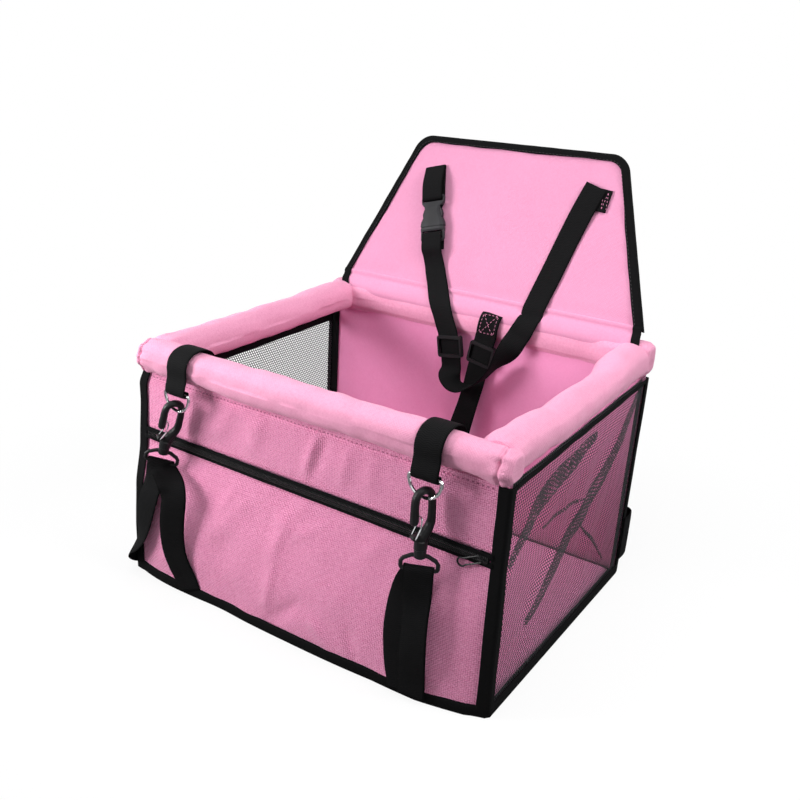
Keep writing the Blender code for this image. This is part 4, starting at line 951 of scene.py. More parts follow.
@dataclass(frozen=True)
class Carrier:
    """The box, its rim and its fold line."""

    width: float = 0.400
    depth: float = 0.300
    rim_height: float = 0.252
    rim_rise: float = 0.012
    front_bow: float = 0.016
    roll_width: float = 0.036
    roll_height: float = 0.034
    roll_power: float = 2.4
    front_roll_y: float = -0.147
    side_roll_x: float = 0.181
    loop_x: float = 0.135
    channel_y: float = 0.152
    channel_depth: float = 0.029
    channel_height: float = 0.035
    face_x: float = 0.1981
    face_front: float = -0.1481
    zip_height: float = 0.1475
    zip_low: float = 0.1403
    zip_high: float = 0.1547
    lean: float = math.radians(20.1)
    back_bottom: float = 0.187
    back_top: float = 0.1235
    back_height: float = 0.430
    back_corner: float = 0.022

    def rim_z(self, y: Points | float) -> Points | float:
        """Height of the rim's tube axis at a depth."""
        return self.rim_height - self.roll_height / 2 + self.rim_rise * y / self.depth

    @property
    def channel_z(self) -> float:
        """Height of the rear sleeve's axis."""
        return self.rim_z(self.channel_y)

    @property
    def fold_z(self) -> float:
        """Height of the seam that the backrest folds on."""
        return self.channel_z + self.channel_height / 2 + 0.0059

    @property
    def front_top(self) -> float:
        """Where the front wall meets the front roll."""
        return self.rim_z(self.front_roll_y) - self.roll_height / 2

    def bow(self, x: Points) -> Points:
        """How far the bottom of the front bows out."""
        half = self.width / 2 - 0.0123
        return self.front_bow * np.clip(1 - np.abs(x / half) ** 2.4, 0, 1)

    def on_backrest(self, points: Points) -> Points:
        """Points across, out from and up the backrest, brought to their place.

        Args:
            points: Places on the backrest, in metres.

        Returns:
            The places in the carrier's frame.
        """
        c, s = math.cos(self.lean), math.sin(self.lean)
        across, out, up = points[..., 0], points[..., 1], points[..., 2]
        y = self.channel_y + out * c + up * s
        z = self.fold_z - out * s + up * c
        return joined(across, y, z)

    def turned(self, way: Points) -> Points:
        """A direction across, out from and up the backrest, in the carrier's frame."""
        return self.on_backrest(way) - self.on_backrest(np.zeros(3))


BOX = Carrier()


@dataclass(frozen=True)
class Slump:
    """How the soft box gives way: the left front corner leans, the foot of the front sags.

    The corner's shift is a table over the height: forwards below the zip,
    sideways above it, and none at the rim. The foot's shift is a table over
    the width. Each fades out along the other axes.
    """

    heights: tuple = (0.0, 0.05, 0.10, 0.1475, 0.18, 0.205, 0.218)
    corner: tuple = (0.0165, 0.0165, 0.0145, 0.0115, 0.0090, 0.0095, 0.0060)
    widths: tuple = (-0.20, -0.11, -0.05, 0.0, 0.094, 0.139, 0.181, 0.198)
    foot: tuple = (0.0, 0.004, 0.004, 0.003, 0.002, 0.005, 0.002, -0.004)

    def move(self, p: Points) -> Points:
        """The points of a cloth, tape or seam, moved.

        Args:
            p: Points, x, y and z last.

        Returns:
            The moved points.
        """
        x, y, z = p[..., 0], p[..., 1], p[..., 2]
        deep = smooth_step((-y - 0.02) / 0.12)
        below = smooth_step((0.228 - z) / 0.012)
        high = smooth_step((z - 0.095) / 0.040)
        shift = np.interp(z, self.heights, self.corner) * deep * below
        lean = shift * (1 - high) * smooth_step((-x - 0.07) / 0.12)
        front = smooth_step((-y - 0.10) / 0.04)
        sag = np.interp(x, self.widths, self.foot) * np.clip(1 - z / 0.14, 0, 1) * front
        out = 0.0035 * np.clip(1 - z / 0.21, 0, 1) * smooth_step((-x - 0.15) / 0.05) * deep
        high = high * smooth_step((0.216 - z) / 0.020)
        out = out + 0.72 * shift * high * smooth_step((-x - 0.150) / 0.047)
        return joined(x - out, y - lean - sag, z)

    def strap(self, p: Points) -> Points:
        """The points of a front strap: free at its hook, with the cloth at its foot."""
        share = smooth_step((0.122 - p[..., 2:]) / 0.075) * (p[..., 1:2] < -0.10)
        return p + share * (self.move(p) - p)


SLUMP = Slump()


# Centre lines of the webbing in millimetres: a direction of the width, and the places that have it

LEFT_STRAP = (
    ((0, -1, 0), (-204.5, -144.6, 4.9), (-205.1, -146.2, 10.9)), ((0.3, -0.95, 0),
     (-208.5, -158.5, 15)), ((0.5, -0.87, 0), (-204.5, -168, 24)), ((0.72, -0.69, -0.05),
     (-196, -170.5, 34)), ((0.88, -0.46, -0.12), (-187.9, -172.5, 46.2)), ((0.96, -0.2, -0.18),
     (-182.3, -174, 60.1)), ((0.98, -0.08, -0.2), (-177.2, -174.5, 75.5)), ((0.97, -0.08, -0.22),
     (-171.9, -174, 91.4)), ((0.96, -0.12, -0.24), (-167.3, -172.5, 105.3)), ((0.96, 0.1, -0.25),
     (-165, -168.5, 117)), ((0.74, 0.62, -0.26), (-163.3, -163.8, 129.5)), ((0.75, 0.62, -0.26),
     (-161.5, -164.1, 133.9), (-159.7, -166, 134.7), (-158.7, -167.9, 132.9)), ((0.76, 0.6, -0.26),
     (-157.6, -168.8, 129.4)), ((0.8, 0.55, -0.24), (-152, -169.5, 125.8)), ((0.86, 0.48, -0.16),
     (-143.3, -172.5, 121)), ((0.9, 0.42, -0.08), (-135.6, -175.5, 115)), ((0.93, 0.36, 0),
     (-131.8, -177.5, 106.3), (-132.7, -178.5, 93.4), (-134.5, -178.5, 78.8)), ((0.93, 0.34, 0),
     (-135.4, -177.5, 60.7)), ((0.94, 0.3, 0), (-134.4, -176, 44.9)), ((0.95, 0.28, -0.06),
     (-130.8, -174, 31.9)), ((0.96, 0.25, -0.06), (-125.9, -172, 20.4)), ((0.97, 0.2, -0.05),
     (-122, -171, 11), (-120.5, -170.6, 6.5)),
)
RIGHT_STRAP = (
    ((0.99, 0.11, 0), (124.5, -161.1, 4.9), (123.5, -161.2, 12.9), (121, -161.8, 24.3),
     (118.4, -162.9, 46), (117.4, -163.1, 62)), ((1, 0.08, 0), (118.2, -163, 80)),
    ((0.99, 0.12, 0), (120.6, -163, 94)), ((0.97, 0.22, 0), (124.2, -163.1, 107)),
    ((0.93, 0.36, 0), (129.5, -163.4, 119)), ((0.91, 0.42, 0), (132.6, -163.6, 125.5),
     (134, -163.8, 129.2), (135, -166, 130.6), (136, -168.2, 129.2), (136.2, -168.5, 124.5),
     (136.2, -168.5, 117.8)), ((0.95, 0.32, 0), (136.1, -168.2, 107.8)), ((1, 0, 0),
     (136, -167, 87.8)), ((1, -0.02, 0), (136.4, -167.2, 73.1)), ((0.99, 0.13, 0),
     (137, -167, 43.9), (136.3, -163.8, 27.3), (136, -162.4, 19), (136, -161.8, 9.6),
     (136, -161.6, 4.9)),
)
SOCKET_STRAP = (
    ((0.97, 0.09, 0.24), (-94, 195.7, 396.5), (-87.4, 185.8, 374), (-85.6, 183.4, 367.7),
     (-84.5, 181.9, 363.9), (-83.7, 180.4, 361.2), (-83.7, 174.2, 363.5), (-84.5, 174.7, 366.5),
     (-85.6, 176, 370.3), (-87.4, 178.3, 376.7), (-94, 194.1, 397.1)),
)
HEADREST_STRAP = (
    ((0.97, 0.09, 0.24), (-68.8, 161.3, 308.9), (-71.6, 165, 318.8), (-73, 166.8, 323.7),
     (-73.6, 167.2, 326.1), (-73.8, 164.6, 327.8), (-73.6, 161.6, 328.1), (-73, 160.4, 326.1),
     (-71.6, 158.6, 321.2), (-68.8, 154.9, 311.2)), ((0.99, 0.04, 0.12), (-67, 156.4, 303.5)),
    ((1, 0, 0), (-63.5, 156, 293.5), (-58.6, 152.6, 283), (-53.6, 148.8, 273.5),
     (-48.8, 144.2, 265.5), (-44.2, 140, 258.8), (-40, 137.2, 252)), ((1, 0, 0.04),
     (-36.4, 136, 245)), ((0.99, 0, 0.08), (-32.8, 135.4, 237)), ((0.99, 0, 0.16),
     (-28.6, 134.7, 229), (-25.6, 134.1, 221.5), (-22.5, 134, 211.6), (-19.7, 134, 193.8),
     (-18.9, 134, 188.9)), ((0.8, 0.6, 0.1), (-16.5, 127, 180.1)), ((0.22, 0.96, 0.16),
     (-9, 123, 172.1), (2, 122, 170.6), (20, 122, 180.1), (38, 123, 201.1)), ((0.76, 0.63, -0.15),
     (51, 128, 222.1)), ((1, 0, 0), (59, 135.2, 241.1), (62, 135.6, 247), (64, 137.1, 252.5),
     (65.5, 140, 257.8), (66.5, 144.1, 260.8), (67.5, 146.9, 269.5), (69, 151.1, 277.6),
     (75.5, 161.1, 303.7), (85, 176.2, 344), (94, 186, 375.5), (101, 193.9, 397.1)),
)
TETHER_STRAP = (
    ((1, 0, 0), (23, 141.8, 256.3), (22.4, 139.2, 253.1), (21.2, 136.7, 245.1), (20.1, 136.7, 237),
     (19.5, 137.5, 232.9), (17.8, 138.2, 226.6), (17, 138.2, 221.8), (12.9, 138.2, 196.5),
     (10.8, 138.2, 183.8), (10, 138.2, 179.1)), ((1, -0.01, 0), (8.7, 136.5, 168.2)),
    ((1, -0.02, 0), (7.8, 133.2, 157.4)), ((1, 0, 0), (6.6, 130.5, 146.5)), ((1, 0.08, 0),
     (4.7, 128.7, 135.8)), ((0.97, 0.26, 0), (1.3, 126.7, 114), (1.2, 126.7, 106),
     (1.3, 126.7, 102), (1.4, 126.3, 100.6), (2, 124, 99.2), (2.6, 121.7, 100.6),
     (2.7, 121.3, 102), (2.7, 122.1, 110), (3.5, 121.9, 122)),
)
REAR_BAND = (
    ((0, 0, 1), (201, 141, 44), (201, 158.5, 44), (200.4, 162.2, 44), (196.1, 168.2, 44),
     (192.7, 169.9, 44), (189, 170.5, 44), (-189, 170.5, 44), (-192.7, 169.9, 44),
     (-198.7, 165.6, 44), (-200.4, 162.2, 44), (-201, 158.5, 44), (-201, 141, 44)),
)
RING_LOOP = (
    (-129.8, 220.5), (-128.3, 225.2), (-128.3, 234.5), (-129.8, 239.2), (-132.8, 243.2),
    (-142.1, 247), (-151.9, 246.6), (-156.8, 245), (-164.2, 237.8), (-165.7, 233), (-165.7, 223.7),
    (-168.5, 208.6), (-168.2, 207.4), (-166, 206.1), (-163.8, 207.4), (-163.5, 211.1),
)


# Long narrow pieces: webbing, tapes, thread


@dataclass
class Ribbon:
    """Flat webbing or tape: a rounded flat section carried along a path."""

    name: str
    body: str = "carrier"
    finish: object = STRAP
    slot: Slot = Slot.WEBBING
    width: float = 0.025
    thick: float = 0.0014
    step: float = 0.0025

    def build(self, path: Points, side: Points) -> bpy.types.Object:
        """Sweeps the section: across the side direction, through the normal.

        Args:
            path: Points of the middle line.
            side: The direction of the width at each point, or one for all.

        Returns:
            The closed ribbon.
        """
        side = np.broadcast_to(np.asarray(side, float), np.shape(path))
        rows = np.concatenate([np.asarray(path, float), side], 1)
        count = max(6, int(run_length(rows[:, :3])[-1] / self.step))
        rows = evenly(rows, count)
        path, side = rows[:, :3], rows[:, 3:]
        along = unit(np.gradient(path, axis=0))
        side = unit(side - (side * along).sum(1, keepdims=True) * along)
        normal = np.cross(along, side)
        angle = circle(20)
        section = superellipse(self.width / 2, self.thick / 2, 4.0, angle)
        points = sweep(path, side, normal, section)
        outward = points - path[:, None]
        caps = [path[k] + section[:, :1] * side[k] for k in (0, -1)]
        points = np.concatenate([caps[0][None], points, caps[1][None]])
        outward = np.concatenate([outward[:1], outward, outward[-1:]])
        along_uv = np.concatenate([[0], run_length(path), [run_length(path)[-1]]])
        across_uv = np.append(section[:, 0], section[0, 0])
        uv = joined(across_uv[None], along_uv[:, None])
        mesh = grid_mesh(self.name, points, uv, True, outward)
        close_up(mesh)
        return add_piece(self.name, mesh, self.finish, self.body)


def close_up(mesh: bpy.types.Mesh) -> None:
    """Merges points that lie on each other, which closes caps and poles.

    Args:
        mesh: A mesh whose ends are rings of equal points.
    """
    bm = bmesh.new()
    bm.from_mesh(mesh)
    bmesh.ops.remove_doubles(bm, verts=bm.verts, dist=1e-6)
    thin = [f for f in bm.faces if f.calc_area() < 1e-14]
    bmesh.ops.delete(bm, geom=thin, context="FACES_ONLY")
    bm.to_mesh(mesh)
    bm.free()
    mesh.shade_smooth()


@dataclass
class Stitching:
    """A row of sewn stitches: arched grains of thread along a line."""

    name: str
    body: str = "carrier"
    finish: object = PINK_THREAD
    length: float = 0.0026
    pitch: float = 0.0040
    radius: float = 0.00026
    lift: float = 0.00015

    def build(self, path: Points, normal: Points) -> bpy.types.Object:
        """Places a stitch every pitch; each is a bent capsule.

        Args:
            path: The line that the needle follows.
            normal: The direction out of the cloth at each point, or one for all.

        Returns:
            All stitches of the row as one piece.
        """
        normal = np.broadcast_to(np.asarray(normal, float), np.shape(path))
        rows = np.concatenate([np.asarray(path, float), normal], 1)
        run = run_length(rows[:, :3])
        count = max(1, int(run[-1] / self.pitch))
        centre = (np.arange(count) + 0.5) * run[-1] / count
        ring = np.linspace(-1, 1, 7)
        at = centre[:, None] + ring * self.length / 2
        place = np.stack([np.interp(at, run, rows[:, k]) for k in range(6)], -1)
        line, out = place[..., :3], unit(place[..., 3:])
        along = unit(np.gradient(line, axis=1))
        aside = unit(np.cross(along, out))
        arch = self.lift + self.radius * (1.1 * (1 - ring**2) - 0.2)
        girth = self.radius * np.sqrt(np.clip(1 - ring**4, 0, 1))
        line = line + arch[None, :, None] * out
        a = circle(6)
        around = np.cos(a)[:, None] * aside[:, :, None] + np.sin(a)[:, None] * out[:, :, None]
        points = line[:, :, None] + girth[None, :, None, None] * around
        steps, sides = points.shape[1:3]
        one = np.arange(steps * sides).reshape(steps, sides)
        wrap = np.concatenate([one, one[:, :1]], 1)
        quads = joined(wrap[:-1, :-1], wrap[:-1, 1:], wrap[1:, 1:], wrap[1:, :-1]).reshape(-1, 4)
        every = (quads[None] + np.arange(count)[:, None, None] * steps * sides).reshape(-1, 4)
        mesh = bpy.data.meshes.new(self.name)
        mesh.from_pydata(points.reshape(-1, 3).tolist(), [], every.tolist())
        mesh.update()
        close_up(mesh)
        recalculate(mesh)
        return add_piece(self.name, mesh, self.finish, self.body)


def recalculate(mesh: bpy.types.Mesh) -> None:
    """Turns the faces of a closed mesh outwards.

    Args:
        mesh: A closed mesh.
    """
    bm = bmesh.new()
    bm.from_mesh(mesh)
    bmesh.ops.recalc_face_normals(bm, faces=bm.faces)
    bm.to_mesh(mesh)
    bm.free()


# The box


@dataclass
class FrontPocket:
    """The front of the box: cloth above the zip, and the bulging pocket below it."""

    puff: float = 0.0015
    upper_folds: tuple[Crease, ...] = creases(
        (18, 210, 0, 156, 5, 2.2), (28, 208, 12, 160, 6, -1.6), (-46, 204, -64, 162, 9, 1.6),
        (-78, 212, -104, 165, 8, 1.6), (-90, 205, -46, 188, 6, 1), (50, 206, 42, 160, 6, 1.4),
        (79, 210, 70, 165, 6, 1.2), (-128, 206, -144, 166, 6, 1.2), (150, 205, 144, 160, 7, 1),
    )
    lower_folds: tuple[Crease, ...] = creases(
        (-8, 120, -28, 70, 8, 2.2), (-20, 74, -27, 20, 6, 1.8), (6, 136, -24, 108, 6, 1.4),
        (36, 130, -4, 100, 7, 1.4), (-56, 126, -104, 64, 12, 2), (-72, 134, -92, 100, 6, 1.6),
        (100, 138, 74, 112, 6, 1.5), (12, 46, -26, 4, 7, -2.4), (26, 36, 52, 6, 7, 2.4),
        (66, 40, 78, 4, 7, -2), (150, 22, 186, 16, 5, 1.8), (-130, 32, -190, 20, 8, 2.2),
    )
    lap: float = 0.0012
    foot: float = 0.0016

    def build(self) -> None:
        """Makes the outer cloths, the inner wall and the seams."""
        grid = (BOX.zip_high - self.lap, BOX.front_top + 0.0008, 190, 44)
        piece = self._cloth("front_cloth_upper", "front_panel_upper", grid, self.upper_y)
        grid = (self.foot, BOX.zip_low + self.lap, 190, 80)
        piece = self._cloth("pocket_cloth", "pocket_panel", grid, self.pocket_y)
        grid = (self.foot, BOX.front_top + 0.004, 80, 50)
        made = ("front_lining", "front_wall", grid, self.lining_y, PINK_IN, 0.0018, 0.1966)
        piece = self._cloth(*made)
        self._seams()

    def upper_y(self, x: Points, z: Points) -> Points:
        """Front of the upper cloth: flat, a little puffed, with folds and puckers.

        Args:
            x: Places across the box.
            z: Heights above the floor.

        Returns:
            The y of the cloth at each place.
        """
        middle = np.clip(1 - (x / 0.188) ** 6, 0, 1)
        across = np.clip((z - BOX.zip_high) / (BOX.front_top - BOX.zip_high), 0, 1)
        puff = self.puff * np.sin(math.pi * across) * middle
        fade = np.sin(math.pi * np.clip(across, 0.04, 0.96))
        folds = creased(x, z, self.upper_folds) * middle * fade
        down = np.clip(BOX.front_top - z, 0, 1)
        pull = 0.0005 * np.exp(-down / 0.007) * ripple(x, 0, 5, 0.007, 1.0) * middle
        seam = 0.0012 * np.exp(-((down - 0.0042) / 0.0016) ** 2)
        cloth = ripple(x, z, 8, 0.030, 0.00035)
        sewn = smooth_step((z - BOX.zip_high) / 0.010)
        return BOX.face_front - puff - (folds + pull + cloth) * middle * sewn + seam * middle

    def pocket_y(self, x: Points, z: Points) -> Points:
        """Front of the pocket: it bows out towards the bottom and sags over it.

        Args:
            x: Places across the box.
            z: Heights above the floor.

        Returns:
            The y of the cloth at each place.
        """
        drop = np.clip(1 - z / BOX.zip_low, 0, 1)
        share = np.clip(z / BOX.zip_low, 0, 1)
        middle = np.clip(1 - (x / 0.190) ** 6, 0, 1)
        belly = 0.0045 * np.sin(math.pi * share**0.8) * middle
        fade = np.clip(np.sin(math.pi * np.clip(share, 0.02, 0.98)) * 1.6, 0, 1)
        folds = creased(x, z, self.lower_folds) * middle * fade
        near = np.exp(-np.clip(BOX.zip_low - z, 0, 1) / 0.008)
        pull = 0.0004 * near * ripple(x, 0, 6, 0.008, 1.0) * middle
        cloth = ripple(x, z, 9, 0.034, 0.0005)
        sewn = smooth_step((BOX.zip_low - z) / 0.010)
        return BOX.face_front - BOX.bow(x) * drop - belly - (folds + pull + cloth) * middle * sewn

    @staticmethod
    def lining_y(x: Points, z: Points) -> Points:
        """The wall between the pocket and the dog, with the pocket's bow."""
        drop = np.clip(1 - z / BOX.zip_low, 0, 1)
        return BOX.face_front + 0.0042 - BOX.bow(x) * drop + ripple(x, z, 10, 0.05, 0.0006)

    @staticmethod
    def _cloth(
        name: str,
        node: str,
        grid: tuple[float, float, int, int],
        depth: Callable,
        finish: object = PINK,
        thickness: float = 0.0012,
        half: float = 0.1968,
    ) -> bpy.types.Object:
        """A cloth across the front; its grid is low and high edge, columns and rows.

        Args:
            name: The piece's name.
            node: The CAD node that it stands for.
            grid: Low and high edge, columns and rows.
            depth: Gives y at each place.
            finish: What it is made of.
            thickness: Its thickness in metres.
            half: Half of the cloth's width.

        Returns:
            The cloth.
        """
        low, high, columns, rows = grid
        x, z = np.meshgrid(np.linspace(-half, half, columns), np.linspace(low, high, rows))
        points = SLUMP.move(joined(x, depth(x, z), z))
        return sew(name, node, points, joined(x, z), -Y, finish, thickness)

    def _seams(self) -> None:
        """Stitches under the roll and along both sides of the zip."""
        rows = (
            # The row under the front roll takes the dark thread, which paints in the roll's shadow
            # line.
            ("seam_front_roll", BOX.front_top - 0.0042, self.upper_y, SHADED_SEAM_THREAD, 0.0044),
            ("seam_zip_upper", BOX.zip_high + 0.0010, self.upper_y, PINK_THREAD, 0.0036),
            ("seam_zip_lower", BOX.zip_low - 0.0010, self.pocket_y, PINK_THREAD, 0.0036),
        )
        x = np.linspace(-0.186, 0.186, 240)
        for name, z, depth, thread, pitch in rows:
            path = joined(x, depth(x, np.full_like(x, z)), z)
            Stitching(name, finish=thread, pitch=pitch, radius=0.00036).build(SLUMP.move(path), -Y)
            LOG.info("stitches %s", name)


@dataclass
class Zipper:
    """Two tapes with their rows of coil; the moulded slider and pull stay as they are."""

    half: float = 0.1875
    tape: float = 0.0050
    pitch: float = 0.00145
    wire: float = 0.00042

    def build(self) -> None:
        """Makes both tapes and both rows of coil turns."""
        for name, sign in (("lower", -1), ("upper", 1)):
            tape, coil = self._tape(f"zip_tape_{name}", sign), self._coil(f"zip_coil_{name}", sign)
            for piece in (tape, coil):
                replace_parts(piece, f"zipper_tape_{name}")
                LOG.info("zip piece %s", piece.name)

    def _tape(self, name: str, sign: int) -> bpy.types.Object:
        """A flat woven tape with a slight wave along it.

        Args:
            name: The piece's name.
            sign: -1 below the zip's middle, 1 above it.

        Returns:
            The tape.
        """
        xs = np.linspace(-self.half - 0.004, self.half + 0.004, 150)
        z = BOX.zip_height + sign * (0.0012 + self.tape / 2)
        wave = ripple(xs, 0, 21 + sign, 0.04, 0.0002)
        path = joined(xs, BOX.face_front - 0.0016 + wave, z)
        return Ribbon(name, finish=TAPE, width=self.tape, thick=0.0009).build(SLUMP.move(path), Z)

    def _coil(self, name: str, sign: int) -> bpy.types.Object:
        """A nylon wire wound along the tape: a helix flattened against it.

        Args:
            name: The piece's name.
            sign: -1 below the zip's middle, 1 above it.

        Returns:
            The coil.
        """
        turns = int(2 * self.half / self.pitch)
        t = np.linspace(0, turns * 2 * math.pi, turns * 8 + 1)
        x = -self.half + t / (2 * math.pi) * self.pitch
        y = BOX.face_front - 0.0020 + 0.0008 * np.sin(t)
        z = BOX.zip_height + sign * (0.0014 - 0.0013 * np.cos(t))
        path = SLUMP.move(joined(x, y, z))
        along = unit(np.gradient(path, axis=0))
        side = unit(np.cross(along, X))
        normal = np.cross(along, side)
        angle = circle(5)
        points = sweep(path, side, normal, self.wire * joined(np.cos(angle), np.sin(angle)))
        run = run_length(path)
        uv = joined(np.linspace(0, 0.002, 6)[None], run[:, None])
        mesh = grid_mesh(name, points, uv, True, points - path[:, None])
        return add_piece(name, mesh, COIL, "carrier")


@dataclass
class NetSides:
    """The two net sides with their top tapes, inner tapes and folds."""

    sag: float = 0.0045
    pleat: float = 0.0007
    foot: float = 0.0022
    inner: float = 0.0030
    right_folds: tuple[Crease, ...] = creases(
        (120, 205, -120, 140, 8, 2.2), (110, 190, 10, 120, 7, 2), (30, 140, -100, 60, 7, 2),
        (20, 108, 95, 40, 4, 1.6), (-90, 200, -135, 120, 6, 1.4),
    )

    def build(self) -> None:
        """Builds the right and the left net."""
        for name, side in (("left", -1), ("right", 1)):
            self._net(name, side)
            self._tapes(name, side)
            LOG.info("%s net", name)
        self._folds()

    def top(self, y: Points) -> Points:
        """Where the net meets the rim above it."""
        return BOX.rim_z(y) - BOX.roll_height / 2 + 0.004

    def depth(self, y: Points, z: Points, side: int) -> Points:
        """How far in the net lies: it sags between its edges and has soft pleats.

        Args:
            y: Places along the box's depth.
            z: Heights above the floor.
            side: -1 on the left, 1 on the right.

        Returns:
            Metres inwards at each place.
        """
        a = np.clip((y + 0.139) / 0.278, 0, 1)
        b = np.clip(z / 0.215, 0, 1)
        hang = np.sin(math.pi * a) * np.sin(math.pi * b)
        waves = ripple(y, z, 40 + side, 0.035, 0.0011) * np.sqrt(np.clip(hang, 0, 1))
        folds = creased(y, z, self.right_folds) if side > 0 else 0.0
        return self.sag * hang + waves - folds

    def _net(self, name: str, side: int) -> None:
        """A net between the corner tapes, the bottom tape and the rim.

        Args:
            name: The side's name.
            side: -1 on the left, 1 on the right.
        """
        yy, ss = np.meshgrid(np.linspace(-0.1435, 0.1445, 130), np.linspace(0, 1, 100))
        zz = self.foot + ss * (self.top(yy) - self.foot)
        xx = side * (BOX.face_x - 0.0006 - self.depth(yy, zz, side))
        points = SLUMP.move(joined(xx, yy, zz))
        made = (f"{name}_net_cloth", f"{name}_net", points, joined(yy, zz), side * X, NET, 0)
        piece = sew(*made, slot=Slot.NET)

    def _tapes(self, name: str, side: int) -> None:
        """Tape along the net's top outside, and all round it inside.

        Args:
            name: The side's name.
            side: -1 on the left, 1 on the right.
        """
        y = np.linspace(-0.1405, 0.1405, 90)
        z = BOX.rim_z(y) - 0.0190
        x = side * (BOX.face_x + 0.0011) + 0 * y
        line = joined(x + ripple(y, 0, 60 + side, 0.03, 0.0003), y, z)
        outer = Ribbon(f"{name}_net_top_tape", finish=TAPE, width=0.0044, thick=0.0013)
        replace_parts(outer.build(line, Z), f"{name}_net_tape")
        inner_x = side * (BOX.face_x - self.inner)
        drop, width = (0.0275, 0.0135) if side < 0 else (0.0205, 0.0060)
        inside = joined(inner_x, y, BOX.rim_z(y) - drop)
        top = Ribbon(f"{name}_net_inner_top_tape", finish=TAPE, width=width, thick=0.0012)
        top.build(inside, Z)
        for where, at in (("front", -0.1375), ("rear", 0.1405)):
            heights = np.linspace(0.004, 0.214 + 0.04 * at, 60)
            line = joined(inner_x, at, heights)
            line[:, 1] += ripple(heights, 0, 70, 0.05, 0.0006)
            across = Y
            if where == "rear" and side < 0:
                line[:, 0], line[:, 1], across = side * 0.1920, 0.1448, X
            tape = Ribbon(f"{name}_net_inner_{where}_tape", finish=TAPE, width=0.0100, thick=0.0012)
            tape.build(SLUMP.move(line), across)

    def _folds(self) -> None:
        """Pleats where the right net lies over itself: flat tubes of net.

        Each has its name, its width in metres and its line, in millimetres
        along the box and up.
        """
        lines = (
            ("rear", 0.0240, (122.8, 214.3), (94.4, 181.6), (68.5, 147.9), (28, 128.1),
             (-0.7, 111.7), (-44.4, 80.5), (-85, 59)),
            ("front", 0.0230, (24.3, 200.8), (-22.5, 190.3), (-69.2, 182.7), (-98.2, 170.1),
             (-137.2, 140)),
            ("low", 0.0045, (19.4, 138.4), (-14.6, 144.8), (-40.9, 146.6), (-75.7, 148.7)),
            ("corner", 0.0040, (22, 110.1), (45.8, 89.4), (63.1, 74.1), (93.3, 40.9)),
        )
        for name, width, *spots in lines:
            flat = smooth_through(np.array([(*row, 0) for row in spots]) / 1000, 16)[:, :2]
            y, z = flat[:, 0], flat[:, 1]
            x = BOX.face_x + 0.0004 - self.depth(y, z, 1)
            path = joined(x, y, z)
            along = unit(np.gradient(path, axis=0))
            side = unit(np.cross(along, X))
            share = np.linspace(0, 1, len(path))
            half = width / 2 * (0.35 + 0.65 * np.sin(math.pi * share) ** 0.7)
            a = circle(16)
            section = joined(np.cos(a) * half[:, None], np.sin(a) * self.pleat)
            points = sweep(path, side, np.broadcast_to(X, path.shape), section)
            across = half[:, None] * a[None] * 0.6
            across = np.concatenate([across, (half * 2 * math.pi * 0.6)[:, None]], 1)
            uv = joined(across, run_length(path)[:, None])
            made = (f"net_pleat_{name}", "", points, uv, points - path[:, None], PLEAT, 0)
            sew(*made, slot=Slot.NET, wrap=True)


